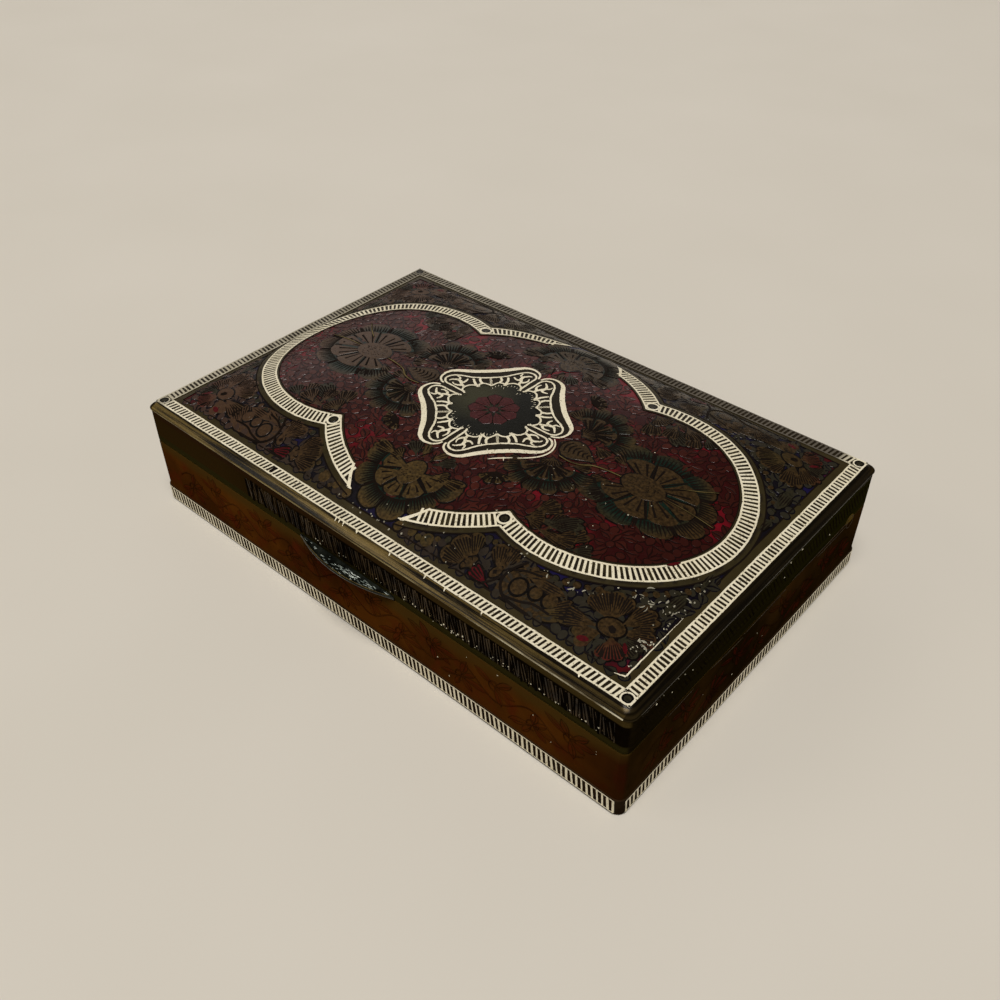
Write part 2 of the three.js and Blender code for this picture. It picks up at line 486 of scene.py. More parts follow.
# Kinds of enamel, told apart in the petals' finish, and the height of each layer of petals
BROWN, RED, TEAL, OPENING, GREY, ROSE = 0.0, 0.25, 0.5, 0.6, 0.75, 1.0
LOW_PETAL, HIGH_PETAL, HEART, PROUD = 0.1, 0.14, 0.18, 0.012


def disc_outline(cx, cy, rx, ry=None, turn=0.0, steps=14):
    ry = ry or rx
    c, s = math.cos(math.radians(turn)), math.sin(math.radians(turn))
    return [(cx + c * rx * math.cos(a) - s * ry * math.sin(a),
             cy + s * rx * math.cos(a) + c * ry * math.sin(a))
            for a in (2 * math.pi * i / steps for i in range(steps))]


def leaf_bulge(t, width, fullness):
    """Half a leaf's width at a share of its length, widest at the share called fullness."""
    return math.sin(math.pi * t ** (math.log(0.5) / math.log(fullness))) ** 0.75 * width / 2


def leaf_outline(root, tip, width, fullness=0.55, steps=7):
    dx, dy = tip[0] - root[0], tip[1] - root[1]
    size = math.hypot(dx, dy)
    left, right = [], []
    for i in range(1, steps):
        t = i / steps
        bulge = leaf_bulge(t, width, fullness)
        x, y = root[0] + dx * t, root[1] + dy * t
        left.append((x - dy / size * bulge, y + dx / size * bulge))
        right.append((x + dy / size * bulge, y - dx / size * bulge))
    return [root] + right + [tip] + left[::-1]


def ringed_bead(hand, x, y, r):
    petals.shape(hand(disc_outline(x, y, r, steps=12)), LOW_PETAL, BROWN, cut=0.2)
    petals.shape(hand(disc_outline(x, y, r * 0.55, steps=10)), HIGH_PETAL + 0.02, BROWN, cut=0.12)


def hatched_leaf(hand, root, tip, width, kind, lines, seed):
    """A leaf cut with fine lines that fan out from its root."""
    chance = random.Random(seed)
    lift = LOW_PETAL + 0.03 * chance.random()
    petals.shape(hand(leaf_outline(root, tip, width)), lift, kind, root=hand([root])[0],
                 far=math.dist(root, tip))
    dx, dy = tip[0] - root[0], tip[1] - root[1]
    size = math.hypot(dx, dy)
    for i in range(lines):
        side = (i + 0.5) / lines * 2 - 1
        start = 0.34 + chance.uniform(0, 0.1)
        stop = 0.86 - 0.2 * abs(side) + chance.uniform(-0.06, 0.04)
        path = []
        for t in (start, (start + stop) / 2, stop):
            spread = side * width * 0.42 * math.sin(math.pi * min(t, 0.6) ** 0.9) ** 0.8
            path.append((root[0] + dx * t - dy / size * spread, root[1] + dy * t + dx / size * spread))
        fine_cuts.add(hand(path), pointed(0.34), lift + PROUD)


def around(cx, cy, facing, stretch=1.0):
    """Gives places by angle and distance from a motif's middle, turned the way it faces."""
    turn = math.radians(facing)

    def at(angle, r):
        x, y = r * math.cos(angle) * stretch, r * math.sin(angle)
        return (cx + x * math.cos(turn) - y * math.sin(turn), cy + x * math.sin(turn) + y * math.cos(turn))
    return at


def scalloped_leaf(hand, root, facing, length, spread, lobes, kind, lift=LOW_PETAL, seed=0, hatch=True):
    """A broad leaf with a scalloped rim, cut with fine strokes that run in from the rim."""
    chance = random.Random(seed)
    at = around(*root, facing)
    half = math.radians(spread) / 2
    lift += 0.03 * chance.random()

    def rim(u):
        scallop = 0.92 + 0.08 * abs(math.sin(math.pi * lobes * (u + 1) / 2)) ** 0.5
        return length * scallop * (1 - 0.22 * u ** 4)

    edge = [at(u * half, rim(u)) for u in (2 * k / (lobes * 6) - 1 for k in range(lobes * 6 + 1))]
    sides = [at(half * u, length * r) for u, r in ((0.93, 0.6), (0.66, 0.32))]
    far_sides = [at(-half * u, length * r) for u, r in ((0.66, 0.32), (0.93, 0.6))]
    petals.shape(hand(edge + sides + [at(0, length * 0.08)] + far_sides), lift, kind,
                 root=hand([root])[0], far=length, cut=0.36)
    strokes = int(2 * half * length * 0.9 / 0.72) if hatch else 0
    for k in range(strokes):
        u = (2 * k + 1) / strokes - 1
        outer = rim(u) * chance.uniform(0.86, 0.93)
        inner = length * chance.uniform(0.44, 0.58)
        a = u * half * 0.94
        fine_cuts.add(hand([at(a, outer), at(a * 0.99, (inner + outer) / 2), at(a * 0.96, inner)]),
                      tapering(0.44, 0.16), lift + PROUD)
    for k in range(1, lobes):
        a = half * (2 * k / lobes - 1)
        dark_cuts.add(hand([at(a, length * 0.95), at(a, length * 0.62)]), tapering(0.4, 0.16), lift + PROUD)


def speckles(hand, middle, size, chance, drop=0.1, thick=0.16):
    """Short ticks strewn over a flower's heart."""
    for _ in range(int(size[0] * size[1] * 2.6)):
        a = chance.uniform(0, 2 * math.pi)
        r = math.sqrt(chance.random()) * 0.72
        x = middle[0] + size[0] * r * math.cos(a)
        y = middle[1] + size[1] * r * math.sin(a)
        fine_cuts.add(hand([(x - 0.16, y - drop), (x + 0.16, y + 0.1)]), thick, HEART + PROUD)


def flower(hand, cx, cy, facing, spread, inner, outer, heart, kind, stretch=1.0, seed=0):
    """Two fans of petals, the outer hatched at its roots and the inner cut with bold wedges.

    Each fan is a count and a radius, and the heart between them has two half sizes, or none.
    """
    chance = random.Random(seed)
    at = around(cx, cy, facing, stretch)
    whole = math.radians(spread)

    def fan(count, radius, lift, lobe, kind):
        wide = whole / count
        for i in range(count):
            a = -whole / 2 + wide * (i + 0.5)
            size = radius * chance.uniform(0.94, 1.05)
            rim = []
            for s in range(11):
                u = s / 5 - 1
                rim.append(at(a + u * wide / 2 * 1.03, size * (1 - lobe * abs(u) ** 2.8)))
            sides = [at(a + u * wide / 2 * 0.97, size * r) for u, r in ((1, 0.6), (0.9, 0.25))]
            far_sides = [at(a - u * wide / 2 * 0.97, size * r) for u, r in ((0.9, 0.25), (1, 0.6))]
            outline = hand(rim + sides + [at(a, size * 0.06)] + far_sides)
            petals.shape(outline, lift + 0.016 * (i % 2), kind, root=hand([(cx, cy)])[0],
                         far=size * (1 + (stretch - 1) * 0.5), cut=0.4)

    inner_count, inner_radius = inner
    outer_count, outer_radius = outer
    fan(outer_count, outer_radius, LOW_PETAL, 0.15, kind)
    strokes = int(whole * (inner_radius + outer_radius) / 2 / 0.74)
    for i in range(strokes):
        a = -whole / 2 + whole * (i + 0.5) / strokes
        start = inner_radius * 0.97
        within = abs((i + 0.5) / strokes * outer_count % 1 * 2 - 1)
        stop = start + (outer_radius - start) * (chance.uniform(0.62, 0.8) - 0.12 * within ** 2)
        lean = chance.uniform(-0.008, 0.016)
        path = [at(a + lean * k, start + (stop - start) * k) for k in (0, 0.5, 1)]
        fine_cuts.add(hand(path), tapering(0.58, 0.14), LOW_PETAL + 0.016 + PROUD)
    for i in range(1, outer_count):
        a = -whole / 2 + whole * i / outer_count
        dark_cuts.add(hand([at(a, inner_radius), at(a, outer_radius * 0.9)]), tapering(0.6, 0.34),
                      LOW_PETAL + 0.03)

    fan(inner_count, inner_radius, HIGH_PETAL, 0.12, BROWN)
    wide = whole / inner_count
    close = max(heart) / inner_radius
    for i in range(inner_count):
        a = -whole / 2 + wide * (i + 0.5)
        for u, stop in ((-0.2, 0.82), (0.2, 0.8)):
            start = close + (stop - close) * chance.uniform(0.12, 0.3)
            bend = ((0.8, start), (1, (start + stop) / 2), (1.05, stop))
            dark_cuts.add(hand([at(a + u * wide * k, inner_radius * r) for k, r in bend]),
                          tapering(0.2, 0.62), HIGH_PETAL + 0.028)
    for i in range(1, inner_count):
        a = -whole / 2 + wide * i
        dark_cuts.add(hand([at(a, inner_radius * close), at(a, inner_radius * 0.94)]), tapering(0.3, 0.46),
                      HIGH_PETAL + 0.03)

    if heart[0]:
        middle = at(0, heart[0] * 0.15)
        petals.shape(hand(disc_outline(*middle, *heart, facing, 20)), HEART, BROWN, cut=0.36)
        speckles(hand, middle, heart, chance)


def stem(hand, points, thick):
    """A bright stem in a dark cut."""
    path = hand(smooth(points, 5))
    dark_cuts.add(path, thick + 0.25, HEART + 0.02)
    stems.add(path, pointed(thick, 0.5), HEART + 0.04)


def palmette(hand):
    """The great flower that fills each gap of the band, front and back."""
    for side in (-1, 1):
        scalloped_leaf(hand, (side * 1.6, -26.0), 90 - side * 44, 7.4, 46, 2, GREY, seed=1)
        scalloped_leaf(hand, (side * 3.4, -27.6), 90 - side * 84, 10.6, 30, 2, BROWN, seed=2)
        hatched_leaf(hand, (side * 0.8, -24.6), (side * 3.4, -19.2), 2.8, BROWN, 3, seed=3)
        dark_cuts.add(hand([(side * 0.4, -21.2), (side * 1.7, -24.4)]), tapering(0.2, 0.5), HIGH_PETAL)
    flower(hand, 0.3, -28.6, -90, 214, (5, 8.9), (6, 13.7), (4.3, 3.2), TEAL, seed=5)
    scalloped_leaf(hand, (4.6, -27.4), 20, 4.6, 70, 2, BROWN, HIGH_PETAL, seed=6)
    scalloped_leaf(hand, (-4.0, -27.4), 160, 4.6, 70, 2, BROWN, HIGH_PETAL, seed=7)


def end_spray(hand):
    """The large flower at each end, with its leaves, stems and ribbed calyx."""
    for sy in (-1, 1):
        scalloped_leaf(hand, (38.8, sy * 4.4), sy * 118, 6.8, 56, 2, GREY, seed=8)
        scalloped_leaf(hand, (37.4, sy * 2.6), sy * 152, 5.8, 44, 2, BROWN, seed=9)
    flower(hand, 44.0, 0.3, 0, 296, (7, 9.6), (8, 13.6), (0, 0), TEAL, stretch=1.32, seed=6)
    middle, heart = (43.0, 0.2), (5.8, 4.0)
    petals.shape(hand(disc_outline(*middle, *heart, 0, 24)), HEART, BROWN, cut=0.36)
    speckles(hand, middle, heart, random.Random(7), 0.08, 0.17)
    stem(hand, [(49.0, 0.4), (54.5, 0.9), (60.6, 1.1)], 0.26)
    stem(hand, [(49.0, 5.4), (52.6, 8.0), (55.9, 11.0)], 0.24)
    petals.shape(hand(leaf_outline((30.6, -0.6), (19.4, 0.4), 7.4, 0.62)), HEART, BROWN, cut=0.36)
    for k in range(7):
        x = 20.6 + 1.2 * k
        rib = [(x + 0.5, 2.3 - 0.24 * k), (x - 0.25, 0.2), (x + 0.4, -2.2 + 0.24 * k)]
        dark_cuts.add(hand(smooth(rib)), pointed(0.5), HEART + PROUD)
    stem(hand, [(22.6, -3.9), (25.6, -4.1), (28.3, -3.3), (30.5, -1.7), (34.0, -0.8), (37.4, -0.4)], 0.36)


def blossom(hand, seed):
    """The flower that stands between the medallion and each end."""
    scalloped_leaf(hand, (19.4, -9.6), -148, 6.0, 60, 2, BROWN, seed=seed)
    scalloped_leaf(hand, (25.6, -5.4), 24, 6.4, 50, 2, BROWN, seed=seed + 1)
    flower(hand, 22.6, -7.2, -66, 158, (5, 6.9), (6, 11.6), (0, 0), TEAL, seed=seed + 2)
    scalloped_leaf(hand, (21.8, -4.6), -66, 4.4, 110, 3, BROWN, HEART, seed=seed + 3)
    flower(hand, 15.6, -17.6, -60, 150, (4, 2.6), (4, 4.4), (0, 0), BROWN, seed=seed + 4)


def cusp_leaves(hand, seed):
    """Leaves that spring from each cusp of the band toward the middle."""
    scalloped_leaf(hand, (29.4, -24.6), 62, 9.2, 46, 3, BROWN, seed=seed)
    scalloped_leaf(hand, (29.8, -25.0), 26, 13.6, 34, 3, GREY, seed=seed + 1)
    scalloped_leaf(hand, (30.4, -25.6), 2, 12.4, 24, 2, BROWN, seed=seed + 2)
    scalloped_leaf(hand, (29.2, -24.9), 24, 5.6, 96, 3, BROWN, HIGH_PETAL, seed=seed + 3)
    ringed_bead(hand, 32.6, -21.6, 1.0)
    scalloped_leaf(hand, (35.4, -26.6), 78, 8.4, 44, 2, BROWN, seed=seed + 4)
    scalloped_leaf(hand, (39.8, -26.8), 64, 8.2, 44, 2, BROWN, seed=seed + 5)
    scalloped_leaf(hand, (36.6, -26.4), 30, 7.4, 60, 3, BROWN, HIGH_PETAL, seed=seed + 6)
    scalloped_leaf(hand, (42.0, -26.6), 34, 6.4, 54, 2, GREY, seed=seed + 7)


def corner_flower(hand):
    """The flower in each corner, round its small dark hole."""
    hub = (61.3, -35.9)
    for facing, length, spread, lobes, kind, seed in (
            (-164, 11.4, 34, 2, BROWN, 10), (-132, 8.0, 58, 2, BROWN, 11), (-2, 7.8, 54, 2, GREY, 13),
            (32, 9.2, 50, 3, BROWN, 14), (67, 10.9, 44, 3, BROWN, 15), (126, 9.8, 86, 4, BROWN, 16),
            (-50, 7.0, 88, 4, BROWN, 12)):
        scalloped_leaf(hand, hub, facing, length, spread, lobes, kind, seed=seed, hatch=seed != 11)
    petals.shape(hand(disc_outline(61.0, -35.2, 3.2, 2.5, 20, 18)), HIGH_PETAL + 0.02, BROWN, cut=0.4)
    dark_cuts.add(hand([(60.6, -35.1), (61.4, -35.5), (62.0, -36.1)]), pointed(1.5, 0.6), HEART + PROUD)
    petals.shape(hand(disc_outline(hub[0] - 3.2, hub[1] - 4.7, 1.5, 0.9, 20, 10)), HIGH_PETAL, RED, cut=0.2)
    petals.shape(hand(disc_outline(hub[0] + 4.4, hub[1] - 1.3, 1.5, 0.7, -50, 10)), HIGH_PETAL, RED, cut=0.2)


def front_leaves(hand):
    """Leaves, curling stems and seed heads along the spandrel's long side."""
    pad = [(36.8, -42.6), (36.2, -38.6), (38.4, -34.6), (42.6, -32.9), (47.4, -33.4), (51.8, -36.6),
           (52.6, -40.4), (49.0, -42.6), (43.0, -42.9)]
    petals.shape(hand(smooth(pad, 4, True)), 0.075, BROWN, cut=0.36)
    scalloped_leaf(hand, (30.6, -41.6), 150, 10.4, 84, 3, BROWN, seed=20)
    scalloped_leaf(hand, (35.9, -40.6), 112, 9.4, 62, 2, BROWN, seed=21)
    scalloped_leaf(hand, (30.0, -41.2), 150, 3.6, 110, 3, BROWN, HIGH_PETAL, seed=22, hatch=False)
    petals.shape(hand(disc_outline(34.4, -38.9, 1.3, 1.9, -20, 12)), HIGH_PETAL, BROWN, cut=0.3)
    dark_cuts.add(hand([(34.0, -38.6), (34.5, -39.4)]), 0.8, HIGH_PETAL + 0.03)
    scalloped_leaf(hand, (36.4, -42.6), 164, 7.6, 36, 3, RED, LOW_PETAL + 0.01, seed=23)
    main_curl = [(38.6, -33.6), (37.0, -36.4), (36.5, -39.0), (37.6, -41.2), (40.4, -42.5), (46.0, -42.7)]
    side_curls = ([(37.4, -36.6), (39.6, -35.4), (43.2, -34.6)],
                  [(37.6, -41.0), (39.0, -42.0), (42.8, -41.4), (45.6, -40.4), (49.6, -40.4)],
                  [(36.6, -38.6), (34.8, -41.0), (33.4, -42.2)])
    dark_cuts.add(hand(smooth(main_curl, 5)), 0.62, HIGH_PETAL + 0.02)
    for curl in side_curls:
        dark_cuts.add(hand(smooth(curl, 5)), 0.5, HIGH_PETAL + 0.02)
    hatched_leaf(hand, (38.2, -36.6), (45.2, -33.4), 3.0, BROWN, 3, seed=24)
    hatched_leaf(hand, (40.6, -36.2), (50.2, -35.4), 3.4, BROWN, 5, seed=26)
    scalloped_leaf(hand, (45.8, -42.6), 40, 9.8, 40, 3, BROWN, seed=27)
    hatched_leaf(hand, (38.4, -33.0), (36.8, -29.6), 1.9, GREY, 2, seed=25)
    for x, y, r in ((40.6, -39.0, 1.9), (44.5, -38.2, 1.5), (48.0, -38.0, 1.75)):
        petals.shape(hand(disc_outline(x, y, r + 0.35, steps=18)), HIGH_PETAL + 0.01, BROWN, cut=0.5)
    petals.shape(hand(disc_outline(48.0, -38.0, 0.8, steps=12)), HEART, BROWN, cut=0.3)
    for x, y, r in ((8.5, -41.4, 1.5), (12.3, -41.0, 1.4), (16.6, -40.8, 1.9)):
        petals.shape(hand(disc_outline(x, y, r, steps=14)), LOW_PETAL + 0.01, BROWN, cut=0.36)
    petals.shape(hand(disc_outline(16.8, -40.6, 0.8, steps=10)), HIGH_PETAL, BROWN, cut=0.3)
    hatched_leaf(hand, (66.4, -26.6), (67.0, -17.4), 3.4, GREY, 5, seed=29)
    hatched_leaf(hand, (68.0, -15.6), (67.6, -8.0), 2.0, GREY, 3, seed=30)


def bead_row(hand, path, pitch, r, seed):
    """Beads at a steady pitch beside the band."""
    chance = random.Random(seed)
    walked = pitch
    for a, b in zip(path, path[1:]):
        walked += math.dist(a, b)
        if walked >= pitch and abs(b[1]) < INSET_Y - 1.2 and b[0] < INSET_X - 1.0:
            walked = 0.0
            size = r * chance.uniform(0.85, 1.15)
            bead = disc_outline(*b, size, size * chance.uniform(0.82, 1), chance.uniform(0, 90), 10)
            lift = LOW_PETAL + 0.02 * chance.random()
            kind = BROWN if chance.random() < 0.6 else GREY
            petals.shape(hand(bead), lift, kind, cut=0.24)


# A smear of red lacquer across the band's inner rail
petals.shape(disc_outline(60.4, -13.7, 1.7, 0.44, 61, 12), 0.26, RED, cut=0.05)

for sy in (-1, 1):
    palmette(Hand(1, -sy, 0.3, 11 + sy))
for sx in (-1, 1):
    end_spray(Hand(sx, 1, 0.2, 31 + sx))
    for sy in (-1, 1):
        hand = Hand(sx, -sy, 0.3, 51 + sx + 3 * sy)
        blossom(hand, 60 + 7 * sx + 3 * sy)
        cusp_leaves(hand, 90 + 7 * sx + 3 * sy)
        corner_flower(hand)
        front_leaves(hand)


# Ladders, medallion and other cream lines

def cusp(grow, side):
    """Where the two lobes' outlines cross when both grow by the same amount."""
    reach, end = ENDS[side]
    middle = MIDDLE_R + grow
    x = (middle ** 2 - (end + grow) ** 2 + reach ** 2) / (2 * reach)
    return x, math.sqrt(middle ** 2 - x ** 2)


def gap_angle(grow):
    """Where the middle lobe stops beside a palmette: the torn end slants."""
    share = (grow + BAND_HALF) / (2 * BAND_HALF)
    return math.degrees(math.acos((12.2 + (8.6 - 12.2) * share) / (MIDDLE_R + grow)))


def lobe_paths(grow, side, steps=40):
    """The band's two arcs in one quarter, at a distance from its middle."""
    reach, end = ENDS[side]
    x, y = cusp(grow, side)
    return (arc(reach, 0, end + grow, 0, math.degrees(math.atan2(y, x - reach)), steps),
            arc(0, 0, MIDDLE_R + grow, math.degrees(math.atan2(y, x)), gap_angle(grow), steps // 3))


def swept_plate(paths, lifts, kind):
    """A closed plate whose cross-section runs over several paths of equal length."""
    start = len(plates.points)
    n = len(paths[0])
    columns = [(paths[0], UNDER)] + list(zip(paths, lifts)) + [(paths[-1], UNDER)]
    for path, lift in columns:
        for x, y in path:
            plates.put(x, y, lift, 1, 0.5, kind)
    rows = len(columns)
    for k in range(rows):
        a, b = start + k * n, start + (k + 1) % rows * n
        for i in range(n - 1):
            plates.faces.append((a + i, a + i + 1, b + i + 1, b + i))
    plates.faces.append(tuple(start + k * n for k in range(rows)))
    plates.faces.append(tuple(start + k * n + n - 1 for k in reversed(range(rows))))


for sx in (-1, 1):
    for sy in (-1, 1):
        for row, path in enumerate(lobe_paths(4.9, sx, 300)):
            bead_row(Hand(sx, sy, place=BAND_PLACE), path, 2.25, 0.98, 101 + row + 2 * sx + 5 * sy)

plates = Relief()
rung_paths = Lines()
RAIL = 0.42
RUNG_PATH, BORDER_RUNG_LEVEL, BAND_RUNG_LEVEL = 0.1, 0.13, 0.14
# Kinds of the plates under the band, and how far its dark frame reaches past it
BED, OLIVE = 0.0, 0.5
INNER_FRAME, OUTER_FRAME = -2.45, 3.3
LAP = 0.05
for sx in (-1, 1):
    end_path = lobe_paths(0.0, sx, 60)[0][:-2]
    whole_end = [(x, -y) for x, y in reversed(end_path[1:])] + end_path
    rung_paths.add(Hand(sx, place=BAND_PLACE)(whole_end), RUNG_PATH, BAND_RUNG_LEVEL)
    for sy in (-1, 1):
        hand = Hand(sx, sy, place=BAND_PLACE)
        for g in (-BAND_HALF + RAIL / 2, BAND_HALF - RAIL / 2):
            for path in lobe_paths(g, sx):
                cream_lines.add(wobble(hand(path), 0.04, int(10 * g) + sx + 3 * sy), uneven(RAIL), 0.2)
        rung_paths.add(hand(lobe_paths(0.0, sx, 60)[1][2:-1]), RUNG_PATH, BAND_RUNG_LEVEL)
        inner, outer = (lobe_paths(g, sx)[1][-1] for g in (-BAND_HALF, BAND_HALF))
        torn = [inner, ((inner[0] + outer[0]) / 2 + 0.25, (inner[1] + outer[1]) / 2), outer]
        cream_lines.add(hand(torn), tapering(0.55, 0.9), 0.21)
        cream_lines.add(hand([inner, (inner[0] - 0.7, inner[1] + 0.9)]), tapering(0.5, 0.15), 0.19)
        cream_lines.add(hand([outer, (outer[0] - 1.1, outer[1] + 0.2)]), tapering(0.7, 0.15), 0.19)
        for k in range(2):
            for low, high, lifts, kind in ((INNER_FRAME, -BAND_HALF + LAP, (0.1, 0.12), OLIVE),
                                           (-BAND_HALF + LAP, BAND_HALF - LAP, (0.12, 0.12), BED),
                                           (BAND_HALF - LAP, OUTER_FRAME, (0.12, 0.1), OLIVE)):
                swept_plate([hand(lobe_paths(g, sx)[k]) for g in (low, high)], lifts, kind)
            dark_cuts.add(hand(lobe_paths(OUTER_FRAME + 0.12, sx)[k]), 0.34, 0.12)
            dark_cuts.add(hand(lobe_paths(INNER_FRAME - 0.1, sx)[k]), 0.26, 0.12)
        cx, cy = cusp(0.0, sx)
        cream_lines.add(hand(disc_outline(cx, cy, 1.5, steps=24)), 0.5, 0.225, closed=True)
        petals.shape(hand(disc_outline(cx, cy, 1.35, steps=16)), 0.2, GREY, cut=0.5)
        cx, cy = TOP_X - BORDER / 2 + 0.05, TOP_Y - BORDER / 2 + 0.05
        corner = Hand(sx, sy)(disc_outline(cx, cy, 1.35, steps=20))
        cream_lines.add(corner, 0.36, 0.18, closed=True)
        petals.shape(corner, 0.16, GREY, cut=0.6)


border_rungs = Lines()
for sy in (-1, 1):
    for y, x in ((TOP_Y - RAIL / 2, TOP_X), (TOP_Y - BORDER + RAIL / 2, TOP_X - BORDER + RAIL)):
        cream_lines.add(wobble(straight((-x, sy * y), (x, sy * y), 90), 0.03, 7), uneven(RAIL), 0.19)
    border_rungs.add(straight((-TOP_X + BORDER + 0.4, sy * (TOP_Y - BORDER / 2)),
                              (TOP_X - BORDER - 0.4, sy * (TOP_Y - BORDER / 2))),
                     RUNG_PATH, BORDER_RUNG_LEVEL)
for sx in (-1, 1):
    for x, y in ((TOP_X - RAIL / 2, TOP_Y), (TOP_X - BORDER + RAIL / 2, TOP_Y - BORDER + RAIL)):
        cream_lines.add(wobble(straight((sx * x, -y), (sx * x, y), 60), 0.03, 8), uneven(RAIL), 0.19)
    border_rungs.add(straight((sx * (TOP_X - BORDER / 2), -TOP_Y + BORDER + 0.4),
                              (sx * (TOP_X - BORDER / 2), TOP_Y - BORDER - 0.4)),
                     RUNG_PATH, BORDER_RUNG_LEVEL)
dark_cuts.add(straight((INSET_X, INSET_Y), (-INSET_X, INSET_Y), 60)
              + straight((-INSET_X, INSET_Y), (-INSET_X, -INSET_Y), 40)[1:]
              + straight((-INSET_X, -INSET_Y), (INSET_X, -INSET_Y), 60)[1:]
              + straight((INSET_X, -INSET_Y), (INSET_X, INSET_Y), 40)[1:-1], 0.34, 0.08, closed=True)

# The bright line inside the front right corner, a painted highlight along the inset line
corner_x = INSET_X + 0.22
up_the_side = straight((corner_x, -42.0), (corner_x, -23.0), 20)
along_the_front = straight((corner_x, -42.2), (INSET_X - 2.0, -42.9), 6)
cream_lines.add(wobble(up_the_side, 0.05, 9), tapering(0.34, 0.05), 0.12)
cream_lines.add(wobble(along_the_front, 0.05, 9), tapering(0.4, 0.1), 0.12)

# A nick in the front border, and slips of the tool over its outer rail
dark_cuts.add([(-29.1, -44.9), (-28.9, -46.9)], 1.0, 0.215)
slips = random.Random(12)
for _ in range(10):
    x, run = slips.uniform(-10, 70), slips.uniform(0.25, 0.7)
    slip = [(x, 0.1 - TOP_Y), (x + 0.06, -TOP_Y - run / 2), (x + slips.uniform(0, 0.2), -TOP_Y - run)]
    cream_lines.add(slip, tapering(0.4, 0.14), tapering(0.16, 0.12 - 0.74 * run))

# Medallion: each quarter is one panel, and each panel two mirrored halves
OUTER_EDGE = [(0.5, 17.3), (0.9, 18.5), (2.0, 19.5), (4.0, 19.9), (5.9, 19.2), (7.3, 17.6), (8.6, 15.7),
              (10.1, 13.8), (11.9, 11.9)]
INNER_EDGE = [(0.85, 10.5), (0.95, 14.4), (0.95, 16.4), (1.5, 17.7), (2.7, 18.3), (4.1, 18.0), (5.2, 16.9),
              (6.1, 15.2), (7.0, 13.3), (8.2, 11.6), (9.8, 9.8)]
ARCHES = [[(0.5, 10.2), (1.1, 11.4), (2.4, 12.0), (3.8, 11.6), (4.6, 10.6), (4.8, 9.3)],
          [(4.8, 9.3), (5.6, 9.9), (6.6, 9.5), (7.1, 8.5), (7.2, 7.2)]]
# Each stroke of the leaf work: its path, and its thickness at the root and at the tip
LEAF_WORK = [([(2.5, 12.0), (2.8, 13.2), (3.6, 14.4)], 0.8, 0.8),
             ([(2.8, 13.1), (2.0, 13.6), (1.7, 14.7), (2.1, 15.7)], 0.9, 0.3),
             ([(3.3, 14.0), (4.4, 13.4), (5.6, 13.8)], 0.9, 0.4),
             ([(3.6, 14.2), (3.8, 15.4), (3.0, 16.5), (2.2, 17.0)], 1.0, 0.35),
             ([(3.8, 15.2), (4.7, 15.5), (4.9, 16.6)], 0.8, 0.3),
             ([(4.8, 9.4), (5.4, 11.2), (6.6, 12.8)], 0.9, 0.6),
             ([(6.5, 9.6), (7.0, 10.8), (8.0, 11.6)], 0.8, 0.6),
             ([(7.2, 7.2), (9.7, 9.7)], 0.8, 0.7)]


def both_ways(points):
    """Half a panel's line, run on by its mirror image."""
    return points + [(y, x) for x, y in points[-2::-1]]


def lobe_thickness(t):
    """The outer line is broad over the middle of a panel."""
    return 0.5 + 0.82 * math.exp(-((t - 0.5) / 0.28) ** 4)


for sx in (-1, 1):
    for sy in (-1, 1):
        quarter = Hand(sx, sy, 0.18, 71 + sx + 3 * sy, MEDALLION_PLACE)
        seed = 80 + sx + 3 * sy
        cream_lines.add(quarter(wobble(smooth(both_ways(OUTER_EDGE), 4), 0.05, seed)), lobe_thickness, 0.23)
        cream_lines.add(quarter(wobble(smooth(both_ways(INNER_EDGE), 4), 0.06, seed + 1)), uneven(0.49), 0.2)
        for flip in (False, True):
            strokes = [(path, 0.52, 0.52) for path in ARCHES] + LEAF_WORK
            for number, (path, root, tip) in enumerate(strokes):
                path = [(y, x) for x, y in path] if flip else path
                stroke = quarter(wobble(smooth(path, 3), 0.07, seed + number))
                cream_lines.add(stroke, tapering(root * 0.9, tip * 0.85), 0.2)


def ring_radius(points, angle):
    """Distance from the middle to a drawn quarter outline, at an angle in its first quarter."""
    best = 0.0
    c, s = math.cos(angle), math.sin(angle)
    for (ax, ay), (bx, by) in zip(points, points[1:]):
        across = (by - ay) * c - (bx - ax) * s
        if abs(across) < 1e-9:
            continue
        t = (ax * s - ay * c) / across
        if -1e-6 <= t <= 1 + 1e-6:
            x, y = ax + (bx - ax) * t, ay + (by - ay) * t
            best = max(best, x * c + y * s)
    return best


def medallion_ring(low, high, lift):
    """The dark plate under the medallion, between two radii that go by the angle in a quarter."""
    steps = 144
    start = len(plates.points)
    for ring, z in ((low, UNDER), (low, lift), (high, lift), (high, UNDER)):
        for i in range(steps):
            angle = 2 * math.pi * i / steps
            r = ring(angle % (math.pi / 2))
            x = MEDALLION_PLACE[0] + r * math.cos(angle)
            y = MEDALLION_PLACE[1] + r * math.sin(angle)
            plates.put(x, y, z, 1, 0.5, BED)
    for k in range(4):
        a, b = start + k * steps, start + (k + 1) % 4 * steps
        for i in range(steps):
            j = (i + 1) % steps
            plates.faces.append((a + i, a + j, b + j, b + i))


outer_path = [(0.0, 17.6)] + smooth(both_ways(OUTER_EDGE), 3) + [(17.6, 0.0)]
half_opening = smooth(ARCHES[0], 3)[:-1] + smooth(ARCHES[1], 3)
opening_path = [(0.0, 10.0)] + both_ways(half_opening) + [(10.0, 0.0)]
medallion_ring(lambda a: max(ring_radius(opening_path, a) - 0.1, 9.4),
               lambda a: max(ring_radius(outer_path, a) + 0.25, 17.0), 0.13)

